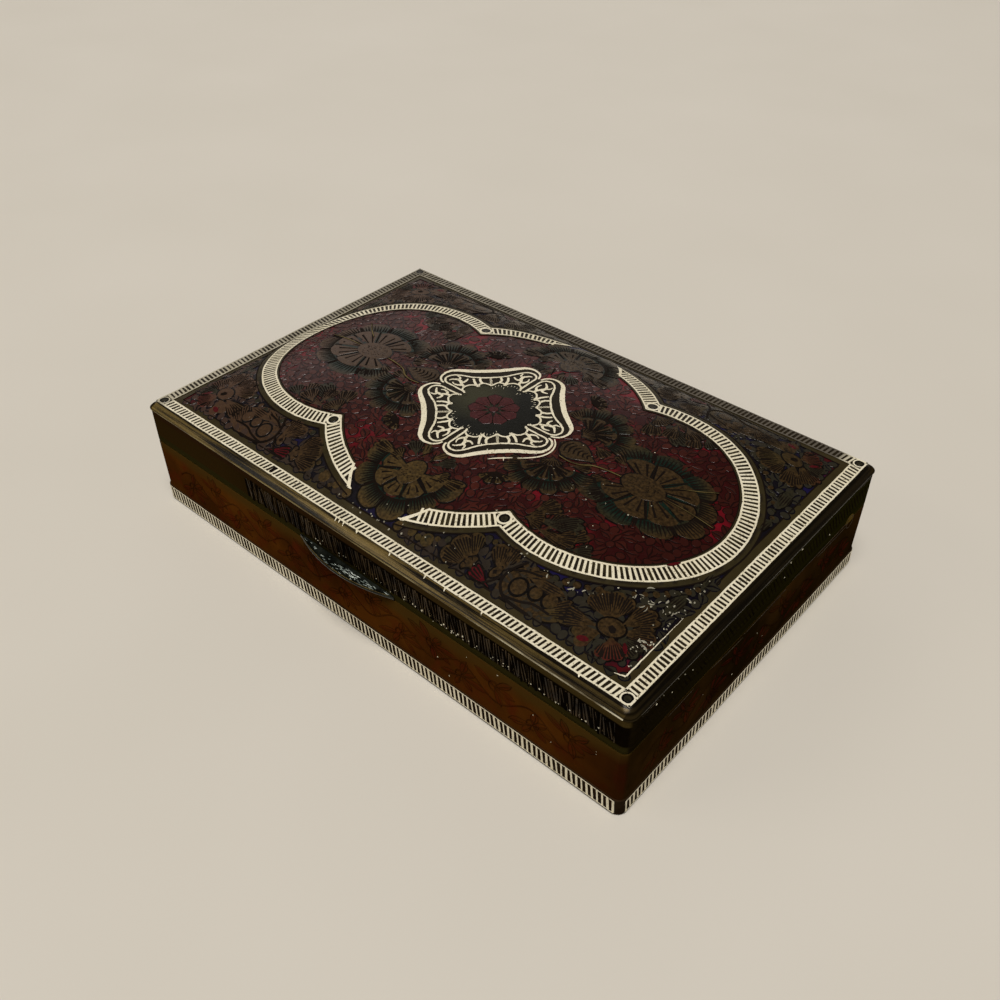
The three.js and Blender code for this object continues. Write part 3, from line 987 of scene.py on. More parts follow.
# The lower right lobe's extra pair of lines and a tick across one
outer_extra = [(17.7, 0.1), (19.3, -1.6), (20.1, -4.2), (19.5, -6.9), (17.9, -9.1), (15.9, -11.0)]
lower_extra = [(15.0, -11.6), (13.6, -12.9), (12.2, -14.2), (11.0, -15.6)]
cream_lines.add(smooth(outer_extra, 4), pointed(0.42, 0.5), 0.17)
cream_lines.add(smooth(lower_extra, 4), pointed(0.4, 0.3), 0.16)
cream_lines.add([(13.3, -12.8), (14.1, -13.8)], tapering(0.34, 0.1), 0.16)

# Rosette and the cut rim of its ground
here = Hand(place=MEDALLION_PLACE)


def spoke(angle, *radii):
    return here([(r * math.cos(angle), r * math.sin(angle)) for r in radii])


def opening_radius(angle):
    return max(ring_radius(opening_path, angle % (math.pi / 2)), 9.6)


OPENING_LIFT = 0.07
opening = [spoke(a, opening_radius(a))[0] for a in (2 * math.pi * i / 120 for i in range(120))]
petals.shape(opening, OPENING_LIFT, OPENING, cut=0.1, root=(-8.0, 1.5), far=16.0)
rosette_petals = 9
for i in range(rosette_petals):
    a = math.radians(360 / rosette_petals * i + 8)
    petal = leaf_outline(spoke(a, 0.9)[0], spoke(a, 6.6)[0], 4.3, 0.68)
    petals.shape(petal, 0.11 + 0.012 * (i % 2), ROSE, cut=0.2)
    for side in (-0.16, 0.16):
        fine_cuts.add(spoke(a + side, 2.0, 4.6), pointed(0.2), 0.125 + PROUD)
    fine_cuts.add(spoke(a + math.radians(180 / rosette_petals), 1.8, 5.6), tapering(0.12, 0.3), 0.14)
petals.shape(disc_outline(*MEDALLION_PLACE, 1.35, steps=12), 0.15, ROSE, cut=0.2)
chance = random.Random(91)
rim_ticks = 170
for i in range(rim_ticks):
    a = 2 * math.pi * i / rim_ticks
    light = i % 2 and abs(math.sin(a)) > 0.7
    start = opening_radius(a) - (1.0 if light else 0.6)
    tick = spoke(a, start, start - chance.uniform(0.3, 0.7))
    lines = cream_lines if light else fine_cuts
    lines.add(tick, tapering(0.16, 0.05), OPENING_LIFT + PROUD)


# Ground leaves

def inside_cartouche(x, y, grow):
    x, y = x - BAND_PLACE[0], y - BAND_PLACE[1]
    reach, end = ENDS[1 if x > 0 else -1]
    return math.hypot(abs(x) - reach, y) < end + grow or math.hypot(x, y) < MIDDLE_R + grow


def ground_sheet(name, has_room):
    """A flat sheet over the part of the dome where the test finds room for leaves."""
    step = 0.9
    nx, ny = int(2 * INSET_X / step), int(2 * INSET_Y / step)
    mesh = bpy.data.meshes.new(name)
    points = [(-INSET_X + i * 2 * INSET_X / nx, -INSET_Y + j * 2 * INSET_Y / ny, 0.0)
              for j in range(ny + 1) for i in range(nx + 1)]
    room = [has_room(x, y) for x, y, _ in points]
    faces = []
    for j in range(ny):
        for i in range(nx):
            a, b = j * (nx + 1) + i, (j + 1) * (nx + 1) + i
            corners = (a, a + 1, b + 1, b)
            if all(room[c] for c in corners):
                faces.append(corners)
    mesh.from_pydata([(x * MM, y * MM, z) for x, y, z in points], [], faces)
    mesh.attributes.new("room", "FLOAT", "POINT").data.foreach_set("value", [float(r) for r in room])
    return mesh


def small_shapes():
    """The few little shapes that fill the ground. Their names set the order that they are picked in."""
    shelf = bpy.data.collections.new("small_shapes")

    def half_leaf(side, width, bend, fullness):
        edge = []
        for t in (0.0, 0.2, 0.45, 0.72, 1.0):
            bulge = leaf_bulge(t, width, fullness)
            edge.append((-1.35 + 2.7 * t, side * bulge + bend * (1 - (2 * t - 1) ** 2)))
        return edge + [(0.1, bend * 0.98)]

    drawings = {
        "a_leaf": [half_leaf(side, 1.9, 0.3, 0.5) for side in (-1, 1)],
        "b_bead": [disc_outline(0, 0, 1.0, 0.88, 0, 10)],
        "c_scale": [smooth([(-1.1, -0.6), (0.2, -0.95), (1.2, -0.1), (0.6, 0.9), (-0.7, 0.7)], 2, True)],
        "d_bud": [half_leaf(side, 2.1, -0.25, 0.62) for side in (-1, 1)],
    }
    for name, outlines in drawings.items():
        drawn = Relief(on_dome=False)
        for outline in outlines:
            drawn.shape(outline, 0.055, cut=0.13 if len(outlines) > 1 else 0.2, low=-0.06, flat=True)
        shelf.objects.link(bpy.data.objects.new(name, drawn.mesh(name)))
    return shelf


# Finishes: colours are six-figure names

def new_finish(name, roughness, metallic=0.0, coat=0.0, shine=0.5):
    """A material whose roughness is one value, or two that it wanders between."""
    material = bpy.data.materials.new(name)
    material.use_nodes = True
    tree = material.node_tree
    shader = tree.nodes["Principled BSDF"]
    shader.inputs["Metallic"].default_value = metallic
    shader.inputs["Coat Weight"].default_value = coat
    shader.inputs["Specular IOR Level"].default_value = shine
    shader.inputs["Coat Roughness"].default_value = 0.14
    if isinstance(roughness, tuple):
        roughness = ranged(tree, noise(tree, 900, 3), 0.3, 0.7, *roughness)
    wire(tree, shader, {"Roughness": roughness})
    return material, tree, shader


def coordinates(tree):
    return add(tree, "ShaderNodeTexCoord").outputs["Object"]


def noise(tree, scale, detail=3, stretch=None):
    place = coordinates(tree)
    if stretch:
        place = add(tree, "ShaderNodeMapping", {"Vector": place, "Scale": stretch}).outputs[0]
    inputs = {"Vector": place, "Scale": float(scale), "Detail": float(detail)}
    return add(tree, "ShaderNodeTexNoise", inputs).outputs["Fac"]


def ranged(tree, value, low, high, new_low=0.0, new_high=1.0):
    return add(tree, "ShaderNodeMapRange", {0: value, 1: low, 2: high, 3: new_low, 4: new_high}).outputs[0]


def rgb(text):
    """A colour as light, from its usual six-figure name."""
    parts = [int(text[i:i + 2], 16) / 255 for i in (0, 2, 4)]
    return tuple(p / 12.92 if p <= 0.04045 else ((p + 0.055) / 1.055) ** 2.4 for p in parts)


def blended(tree, share, first, second):
    """Turns one colour into another. Each is a socket or a six-figure name."""
    node = add(tree, "ShaderNodeMix", {0: share}, data_type="RGBA")
    for index, value in ((6, first), (7, second)):
        if isinstance(value, str):
            node.inputs[index].default_value = (*rgb(value), 1.0)
        else:
            tree.links.new(value, node.inputs[index])
    return node.outputs[2]


def rough_surface(tree, shader, value, strength):
    bump = add(tree, "ShaderNodeBump", {"Strength": strength, "Distance": 0.1 * MM, "Height": value})
    wire(tree, shader, {"Normal": bump.outputs[0]})


def stepped(tree, value, edge, softness):
    """Nothing below an edge and all above it."""
    return ranged(tree, value, edge - softness, edge + softness)


def along(tree, axis):
    """A point's place on one axis of the box, in millimetres."""
    split = add(tree, "ShaderNodeSeparateXYZ", {0: coordinates(tree)})
    return maths(tree, "MULTIPLY", split.outputs[axis], 1 / MM)


def marks(tree):
    """The tone, reach and kind that the points of a raised shape carry."""
    attribute = add(tree, "ShaderNodeAttribute", attribute_name="finish")
    return add(tree, "ShaderNodeSeparateColor", {0: attribute.outputs["Color"]}).outputs


def with_cut(tree, tone, cut, body):
    """A shape's own colour, and the colour of the cut round it."""
    return blended(tree, stepped(tree, tone, 0.5, 0.3), cut, body)


def lacquer_shine(tree):
    """The lid's lacquer shines less towards its right end."""
    return ranged(tree, along(tree, "X"), 0.0, 52.0, 0.3, 0.1)


def bed_colour(tree):
    """The dark bed under the cream ladders."""
    return blended(tree, noise(tree, 500, 4), "171108", "2a2112")


def cream_finish():
    material, tree, shader = new_finish("cream_inlay", 0.45, 0.1, shine=0.4)
    wear = stepped(tree, noise(tree, 2600, 4), 0.36, 0.06)
    tint = blended(tree, noise(tree, 160), "ddd2b0", "f7efd8")
    worn = blended(tree, wear, "6b5c3c", tint)
    wire(tree, shader, {"Base Color": blended(tree, border_greying(tree), worn, "463e35")})
    rough_surface(tree, shader, noise(tree, 4000), 0.25)
    return material


def border_greying(tree):
    """How far the cream of the lid's border turns grey-brown: most along the back, less along the left."""
    right, back, up = (along(tree, axis) for axis in "XYZ")
    at_back = maths(tree, "MULTIPLY", ranged(tree, back, 42.5, 44.5), ranged(tree, right, 71.0, 67.0))
    at_back = maths(tree, "MULTIPLY", at_back, ranged(tree, right, -50.0, -20.0, 0.74, 0.95))
    at_left = maths(tree, "MULTIPLY", ranged(tree, right, -69.5, -71.2),
                    ranged(tree, back, -40.0, 40.0, 0.44, 0.8))
    on_lid = ranged(tree, up, 24.0, 28.0)
    return maths(tree, "MULTIPLY", maths(tree, "MAXIMUM", at_back, at_left), on_lid)


def dark_finish():
    material, tree, shader = new_finish("blackened_cut", 0.5, shine=0.06)
    wire(tree, shader, {"Base Color": blended(tree, noise(tree, 300), "0c0705", "191009")})
    rough_surface(tree, shader, noise(tree, 3000), 0.2)
    return material


def petal_finish():
    """Lacquered brass petals: teal at the roots of the outer ones, red or grey in others."""
    material, tree, shader = new_finish("petal_lacquer", (0.24, 0.36), 0.2, 0.12, 0.3)
    tone, reach, kind = marks(tree)
    right, back = along(tree, "X"), along(tree, "Y")
    x, y = maths(tree, "ABSOLUTE", right), maths(tree, "ABSOLUTE", back)
    mottle = ranged(tree, noise(tree, 1500, 5), 0.3, 0.7)

    brown = blended(tree, mottle, "1f160b", "47351d")
    front_palmette = maths(tree, "MULTIPLY", ranged(tree, x, 24.0, 8.0), ranged(tree, back, -10.0, -18.0))
    brown = blended(tree, front_palmette, brown, blended(tree, mottle, "2b2010", "574424"))
    brown = blended(tree, ranged(tree, right, -18.0, -64.0, 0.0, 0.55), brown, "5a4032")
    brown = blended(tree, ranged(tree, maths(tree, "ADD", x, y), 99.0, 106.0, 0.0, 0.6), brown, "581619")
    brown = blended(tree, ranged(tree, noise(tree, 60, 2), 0.56, 0.8), brown, "3d351a")

    teal = blended(tree, stepped(tree, reach, 0.8, 0.12), blended(tree, mottle, "0b1410", "14291f"), brown)
    opening = blended(tree, ranged(tree, reach, 0.2, 0.7), "353321", "12120c")
    colour = brown
    for lowest, enamel in ((0.12, blended(tree, mottle, "360a0d", "560e14")), (0.37, teal), (0.56, opening),
                           (0.68, blended(tree, mottle, "1f1d14", "332e1f")),
                           (0.9, blended(tree, mottle, "361315", "4e2020"))):
        colour = blended(tree, stepped(tree, kind, lowest, 0.01), colour, enamel)
    wire(tree, shader, {"Base Color": with_cut(tree, tone, "0c0705", colour),
                        "Specular IOR Level": lacquer_shine(tree)})
    rough_surface(tree, shader, noise(tree, 1500), 0.25)
    return material


def leaf_finish(name, dark, light, cut, left, right):
    """The small ground leaves, which turn another colour towards each end of the lid."""
    material, tree, shader = new_finish(name, (0.24, 0.38), 0.1, 0.12, 0.3)
    place = along(tree, "X")
    body = blended(tree, ranged(tree, noise(tree, 190, 3), 0.3, 0.7), dark, light)
    body = blended(tree, ranged(tree, place, -20.0, -65.0, 0.0, 0.55), body, left)
    body = blended(tree, ranged(tree, place, 20.0, 60.0, 0.0, 0.7), body, right)
    wire(tree, shader, {"Base Color": with_cut(tree, marks(tree)[0], cut, body),
                        "Specular IOR Level": lacquer_shine(tree)})
    rough_surface(tree, shader, noise(tree, 1800), 0.25)
    return material


def bed_finish():
    material, tree, shader = new_finish("olive_bed", (0.28, 0.42), 0.3, shine=0.3)
    olive = blended(tree, noise(tree, 350, 4), "261f0f", "3f361c")
    is_olive = stepped(tree, marks(tree)[2], 0.25, 0.1)
    wire(tree, shader, {"Base Color": blended(tree, is_olive, bed_colour(tree), olive)})
    rough_surface(tree, shader, noise(tree, 2200), 0.3)
    return material


def beyond_lobe(tree, right, back, reach, radius):
    """How far a place lies outside one lobe of the cartouche."""
    dx = maths(tree, "SUBTRACT", right, reach + BAND_PLACE[0])
    dy = maths(tree, "SUBTRACT", back, BAND_PLACE[1])
    square = maths(tree, "ADD", maths(tree, "MULTIPLY", dx, dx), maths(tree, "MULTIPLY", dy, dy))
    return maths(tree, "SUBTRACT", maths(tree, "SQRT", square), radius)


def beyond_edge(tree, x, y, half_x, half_y):
    """How far a place lies outside a rectangle round the middle."""
    return maths(tree, "MAXIMUM", maths(tree, "SUBTRACT", x, half_x), maths(tree, "SUBTRACT", y, half_y))


def top_colour(tree, right, back, x, y):
    """Red inside the cartouche, blue with red corners outside it, then olive, and the border's dark bed."""
    lobes = ((ENDS[1][0], ENDS[1][1]), (-ENDS[-1][0], ENDS[-1][1]), (0.0, MIDDLE_R))
    first, second, third = (beyond_lobe(tree, right, back, *lobe) for lobe in lobes)
    outside = maths(tree, "MINIMUM", maths(tree, "MINIMUM", first, second), third)
    patches = ranged(tree, noise(tree, 80, 3), 0.5, 0.66)
    red = blended(tree, patches, "2a0807", "660a16")
    blue = blended(tree, patches, "0e0a10", "140e34")
    corners = stepped(tree, maths(tree, "ADD", x, y), 106.0, 2.5)
    blue = blended(tree, corners, blue, blended(tree, patches, "3c0a0c", "640a16"))
    dome = blended(tree, stepped(tree, outside, 0.0, 0.1), red, blue)
    olive = blended(tree, noise(tree, 260, 4), "261f0f", "3a311a")
    at_rim = stepped(tree, beyond_edge(tree, x, y, INSET_X, INSET_Y), 0.0, 0.1)
    at_border = stepped(tree, beyond_edge(tree, x, y, FIELD_X, FIELD_Y), 0.1, 0.1)
    return blended(tree, at_border, blended(tree, at_rim, dome, olive), bed_colour(tree))


def shoulder_colours(tree, right, x, drawn):
    """The scratched gold bevel and the bead under it, whose near-white colour is a painted highlight; both
    carry painted shade on the short sides.
    """
    # Painted shade: the bevel and the bead turn dark on the short sides.
    on_shaded_side = stepped(tree, maths(tree, "SUBTRACT", x, TOP_X), 0.05, 0.04)
    scratch = ranged(tree, drawn, 0.44, 0.57)
    gold = blended(tree, scratch, "150f07", "6e5c32")
    gold = blended(tree, ranged(tree, right, 26.0, 74.0, 0.0, 0.72), gold, "150f08")
    bevel = blended(tree, on_shaded_side, gold, blended(tree, scratch, "120d05", "261e0f"))
    # Painted highlight: the bead near white, brighter towards the right end and broken in patches.
    bead = blended(tree, ranged(tree, right, 10.0, 60.0), "8d7d4e", "d8d0b4")
    highlight_unbroken = ranged(tree, noise(tree, 110, 5, stretch=(1.0, 3.0, 3.0)), 0.4, 0.56)
    bead = blended(tree, on_shaded_side, blended(tree, highlight_unbroken, "5c4c2a", bead), "261f12")
    return bevel, bead


def side_colour(tree, right, back, x, z, drawn):
    """The lid's sides from the seam up: olive, the dark band, a brushed strip, the bead and the bevel."""
    bevel, bead = shoulder_colours(tree, right, x, drawn)
    strip = blended(tree, drawn, "24170b", "3c2814")
    lighter_strip = blended(tree, drawn, "30260f", "524424")
    strip = blended(tree, ranged(tree, right, -10.0, 50.0, 0.0, 0.9), strip, lighter_strip)
    band = blended(tree, noise(tree, 700, 3), "060402", "140d06")
    band = blended(tree, ranged(tree, right, -46.0, 2.0), "32240e", band)
    low = blended(tree, drawn, "201b0b", "363014")
    # Painted shade: the skirt's short sides go dark and plain.
    shaded_short_side = blended(tree, ranged(tree, back, -50.0, 40.0), "1c1508", "272507")
    shaded_short_side = blended(tree, ranged(tree, drawn, 0.4, 0.6, 0.0, 0.5), shaded_short_side, "0e0b05")
    skirt = blended(tree, stepped(tree, z, BAND_LOW, 0.15), low, band)
    skirt = blended(tree, stepped(tree, z, BAND_HIGH, 0.15), skirt, strip)
    skirt = blended(tree, stepped(tree, x, WALL_X - 0.6, 0.2), skirt, shaded_short_side)
    skirt = blended(tree, stepped(tree, z, BEAD_LOW, 0.08), skirt, bead)
    return blended(tree, stepped(tree, z, BEAD_HIGH, 0.08), skirt, bevel)


def lid_finish():
    """The lid's own metal: red and blue lacquer on the dome, olive brass round it, a dark skirt."""
    material, tree, shader = new_finish("lacquered_lid", (0.24, 0.38), 0.0, 0.12, 0.3)
    right, back, z = (along(tree, axis) for axis in "XYZ")
    x, y = maths(tree, "ABSOLUTE", right), maths(tree, "ABSOLUTE", back)
    drawn = noise(tree, 620, 8, stretch=(0.05, 0.05, 5.0))
    off_top = stepped(tree, beyond_edge(tree, x, y, TOP_X, TOP_Y), 0.03, 0.03)
    under_bead = maths(tree, "SUBTRACT", 1.0, stepped(tree, z, BEAD_LOW, 0.08))
    rounded_corner = stepped(tree, maths(tree, "ADD", x, y), WALL_X + WALL_Y - 4.0, 1.0)
    on_skirt = maths(tree, "MULTIPLY", off_top, under_bead)
    on_skirt = maths(tree, "MULTIPLY", off_top, maths(tree, "MAXIMUM", on_skirt, rounded_corner))
    on_bevel = maths(tree, "SUBTRACT", off_top, on_skirt)
    colour = blended(tree, off_top, top_colour(tree, right, back, x, y),
                     side_colour(tree, right, back, x, z, drawn))
    wire(tree, shader, {"Base Color": colour,
                        "Metallic": maths(tree, "MULTIPLY", on_bevel, 0.5),
                        "Specular IOR Level": maths(tree, "MULTIPLY", maths(tree, "SUBTRACT", 1.0, on_skirt),
                                                    lacquer_shine(tree)),
                        "Coat Weight": ranged(tree, on_skirt, 0.0, 1.0, 0.12, 0.0)})
    grain = maths(tree, "ADD", noise(tree, 1200), maths(tree, "MULTIPLY", drawn, 0.8))
    rough_surface(tree, shader, grain, 0.25)
    return material


def wall_colour(tree):
    """The base's red-brown lacquer: lighter to the left of the front, a painted olive sheen towards the top,
    and painted shade that makes the two sides near black.
    """
    right, z = along(tree, "X"), along(tree, "Z")
    patches = ranged(tree, noise(tree, 70, 4), 0.35, 0.65)
    wall = blended(tree, patches, "361c06", "4e2b09")
    wall = blended(tree, ranged(tree, noise(tree, 180, 4), 0.52, 0.7, 0.0, 0.7), wall, "481a08")
    wall = blended(tree, ranged(tree, right, 56.0, 75.0, 0.0, 0.6), wall, "1c0d04")
    # Painted sheen: the wall turns olive towards its top.
    upper = maths(tree, "ADD", z, maths(tree, "MULTIPLY", noise(tree, 45, 3), 9.0))
    wall = blended(tree, ranged(tree, upper, 19.5, 22.5, 0.0, 0.8), wall, "3c2c0f")
    # Painted shade: the short sides near black.
    shaded_short_side = blended(tree, patches, "191003", "32200a")
    return blended(tree, stepped(tree, maths(tree, "ABSOLUTE", right), FOOT_X - 0.6, 0.2), wall, shaded_short_side)


def vine_finish(name, tint, cut, share):
    """Brushwork on the walls: the wall's colour with a share of its own."""
    material, tree, shader = new_finish(name, (0.3, 0.45), shine=0.0)
    wall = wall_colour(tree)
    body = blended(tree, ranged(tree, noise(tree, 260, 4), 0.3, 0.7, 0.0, share), wall, tint)
    edge = blended(tree, ranged(tree, noise(tree, 200, 3), 0.3, 0.7, 0.2, 0.7), wall, cut)
    wire(tree, shader, {"Base Color": with_cut(tree, marks(tree)[0], edge, body)})
    rough_surface(tree, shader, noise(tree, 1800), 0.25)
    return material


def base_finish():
    material, tree, shader = new_finish("red_brown_base", (0.28, 0.42), shine=0.0)
    z = along(tree, "Z")
    foot = blended(tree, noise(tree, 600, 3), "1a120a", "33261a")
    colour = blended(tree, stepped(tree, z, FOOT_TOP, 0.1), foot, wall_colour(tree))
    brass = blended(tree, noise(tree, 120, 4), "3d3013", "6a5524")
    colour = blended(tree, stepped(tree, z, SEAM_LOW - 0.02, 0.02), colour, brass)
    wire(tree, shader, {"Base Color": colour})
    rough_surface(tree, shader, noise(tree, 1000), 0.2)
    return material


def plain_brass(name, dark, light, roughness=(0.25, 0.45), metallic=0.75, shine=0.5):
    material, tree, shader = new_finish(name, roughness, metallic, shine=shine)
    mottle = ranged(tree, noise(tree, 240, 5), 0.35, 0.65)
    wire(tree, shader, {"Base Color": blended(tree, mottle, dark, light)})
    rough_surface(tree, shader, noise(tree, 1600, 4), 0.5)
    return material


cream = cream_finish()
black_cut = dark_finish()
petal_lacquer = petal_finish()
red_leaf = leaf_finish("red_leaves", "34110c", "481d14", "1a0705", "442620", "280d09")
blue_leaf = leaf_finish("blue_leaves", "221b17", "342a20", "0a070e", "4c352c", "28271d")
olive_bed = bed_finish()
lid_metal = lid_finish()
base_metal = base_finish()
stem_brass = plain_brass("stem_brass", "5a4a28", "94824e")
lip_brass = plain_brass("lip_brass", "0c0e0a", "262a22", (0.25, 0.5))
vine_leaf = vine_finish("vine_leaves", "4c140a", "1c0a03", 0.55)
vine_line = vine_finish("vine_lines", "2a0f04", "1c0a03", 0.5)
skirt_brown = plain_brass("skirt_brown", "120c06", "40311c", (0.4, 0.6), 0.0, 0.06)
skirt_dark = plain_brass("skirt_dark", "0e0a04", "1c160a", (0.4, 0.6), 0.0, 0.0)
skirt_black = plain_brass("skirt_black", "060403", "100b06", (0.5, 0.7), 0.0, 0.0)
# Painted highlight: near-white finish for the chips and glints.
painted_highlight = plain_brass("painted_highlights", "cfc8ae", "fdf6dc", (0.15, 0.3))
# Painted glints: bright teal-white finish for the lip's flecks.
lip_painted_glint = plain_brass("lip_flecks", "5f6f68", "dfe8e0", (0.15, 0.4))

# Growing the ornament on the lid

line_growth, rung_growth, leaf_growth = cut_line_tree(), rung_tree(), scatter_tree()


def show_lines(name, lines, material):
    mesh = grown(name, lines.drawing(name), line_growth, material, Height_share=LINE_SHARE)
    shade(mesh)
    show(name, mesh, material, "lid_brass")


def rung_sizes(pitch, length, width, height, lean, unevenness, seed):
    """The sizes of a row of rungs, with its lengths given in millimetres."""
    return {"Pitch": pitch * MM, "Rung_length": length * MM, "Rung_width": width * MM,
            "Rung_height": height * MM, "Lean": lean, "Unevenness": unevenness, "Seed": seed}


show_lines("cream_lines", cream_lines, cream)
show_lines("dark_cuts", dark_cuts, black_cut)
show_lines("fine_cuts", fine_cuts, black_cut)
show_lines("bright_stems", stems, stem_brass)
for name, paths, sizes in (
        ("band_rungs", rung_paths, rung_sizes(1.16, 3.5, 0.51, 0.12, 0.1, 0.1, 4)),
        ("border_rungs", border_rungs, rung_sizes(1.17, 2.75, 0.53, 0.12, -0.14, 0.12, 5))):
    show(name, grown(name, paths.drawing(name), rung_growth, cream, **sizes), cream, "lid_brass")
show("olive_plates", outward(plates.mesh("olive_plates")), olive_bed, "lid_brass")
show("flower_petals", petals.mesh("flower_petals"), petal_lacquer, "lid_brass")


def beside_medallion(x, y):
    """The red ground, clear of the band and of the lid's very middle."""
    return inside_cartouche(x, y, -2.4) and abs(x) + abs(y) > 20


def beside_cartouche(x, y):
    """The blue ground, clear of the band and of the gaps in front of and behind its middle lobes."""
    return not inside_cartouche(x, y, 3.6) and not (abs(x) < 9 and abs(y) < 44)


shapes = small_shapes()
for name, has_room, material, spacing, seed in (
        ("red_ground_leaves", beside_medallion, red_leaf, 2.0, 3),
        ("blue_ground_leaves", beside_cartouche, blue_leaf, 1.8, 5)):
    leaves = grown(name, ground_sheet(name, has_room), leaf_growth, material, Shapes=shapes, Seed=seed,
                   Spacing=spacing * MM, Density=900000.0, Smallest=1.1, Largest=1.45, Layering=0.025 * MM)
    shade(leaves, 14)
    show(name, leaves, material, "lid_brass")
for shape in list(shapes.objects):
    bpy.data.objects.remove(shape)


# The lid's shell

def join_rings(faces, first, second):
    """Faces between two rings with the same number of points."""
    count = len(first)
    for i in range(count):
        j = (i + 1) % count
        faces.append((first[i], first[j], second[j], second[i]))


def crowded(half):
    """Places across the lid's top, close together near its edges."""
    near = [0, 0.2, 0.4, 0.65, 0.9, 1.2, 1.55, 1.9, 2.3, 2.8, 3.5, 4.4]
    inner = half - near[-1]
    count = round(2 * inner / 1.5)
    middle = [-inner + 2 * inner * i / count for i in range(1, count)]
    return [-half + d for d in near] + middle + [half - d for d in reversed(near)]


def rounded(x, y, half, radius):
    """Moves a point of the lid's flat edge to the like place on a larger rounded rectangle."""
    half_y = half - WALL_X + WALL_Y
    sx, sy = math.copysign(1, x), math.copysign(1, y)
    x, y = abs(x) * half / FIELD_X, abs(y) * half_y / FIELD_Y
    if half - x < half_y - y or half - x < 1e-6:
        turn = math.radians(45) * max(0, (y - (half_y - radius)) / radius)
        if turn == 0:
            return sx * half, sy * y
    else:
        turn = math.radians(90 - 45 * max(0, (x - (half - radius)) / radius))
        if turn >= math.radians(90) - 1e-9:
            return sx * x, sy * half_y
    return sx * (half - radius + radius * math.cos(turn)), sy * (half_y - radius + radius * math.sin(turn))


def lid_shell():
    """The domed top and its underside, joined by rings down the outside and up the inside of the skirt."""
    xs, ys = crowded(FIELD_X), crowded(FIELD_Y)
    nx, ny = len(xs), len(ys)
    points, faces = [], []
    for low in (GROUND, GROUND - PLATE):
        start = len(points)
        points += [(x, y, low + dome_height(x, y)) for y in ys for x in xs]
        for j in range(ny - 1):
            for i in range(nx - 1):
                a = start + j * nx + i
                faces.append((a, a + 1, a + nx + 1, a + nx))
    rim = (list(range(nx)) + [j * nx + nx - 1 for j in range(1, ny)]
           + [(ny - 1) * nx + i for i in range(nx - 2, -1, -1)] + [j * nx for j in range(ny - 2, 0, -1)])
    # Each ring is its half length, the radius of its corners and its height
    inner = WALL_X - WALL
    bevel = [(FIELD_X + 0.1, 0.05, GROUND + 0.05), (TOP_X - 0.22, 1.9, GROUND + 0.07),
             (TOP_X, 2.0, GROUND - 0.02), (WALL_X - 0.3, 2.1, 29.95)]
    bead = [(WALL_X - 0.12, 2.15, 29.78), (WALL_X, CORNER, 29.62), (WALL_X, CORNER, 29.46),
            (WALL_X - 0.12, 2.15, 29.3), (WALL_X - 0.22, 2.1, 29.12)]
    skirt = [(WALL_X - 0.15, 2.1, 20.0), (WALL_X - 0.25, 2.0, SEAM_HIGH + 0.06),
             (WALL_X - 0.45, 2.0, SEAM_HIGH)]
    inside = [(inner + 0.1, 0.9, SEAM_HIGH), (inner, 0.8, SEAM_HIGH + 0.1), (inner, 0.8, 29.2),
              (inner - 0.4, 0.8, GROUND - PLATE - 0.05)]
    previous = rim
    for half, radius, z in bevel + bead + skirt + inside:
        start = len(points)
        points += [(*rounded(*points[k][:2], half, radius), z) for k in rim]
        ring = list(range(start, start + len(rim)))
        join_rings(faces, previous, ring)
        previous = ring
    join_rings(faces, previous, [nx * ny + k for k in rim])
    mesh = outward(mesh_from("lid_shell", points, faces))
    shade(mesh, 30)
    return mesh


show("lid_shell", lid_shell(), lid_metal, "lid_brass", "lid")


# The base's shell

def perimeter(half, radius, z):
    """Points round one level of the base, the same number at every level."""
    half_y = half - WALL_X + WALL_Y
    corners = ((1, 1), (-1, 1), (-1, -1), (1, -1))
    middles = [(sx * (half - radius), sy * (half_y - radius)) for sx, sy in corners]
    corner_steps, wall_step = 8, 4.0

    def on_corner(quarter, turn):
        x, y = middles[quarter % 4]
        return x + radius * math.cos(turn), y + radius * math.sin(turn)

    points = []
    for quarter in range(4):
        for s in range(corner_steps + 1):
            points.append((*on_corner(quarter, math.radians(90 * (quarter + s / corner_steps))), z))
        a = points[-1]
        b = on_corner(quarter + 1, math.radians(90 * (quarter + 1)))
        count = round(2 * (WALL_Y if quarter % 2 else WALL_X) / wall_step)
        for s in range(1, count):
            points.append((a[0] + (b[0] - a[0]) * s / count, a[1] + (b[1] - a[1]) * s / count, z))
    return points


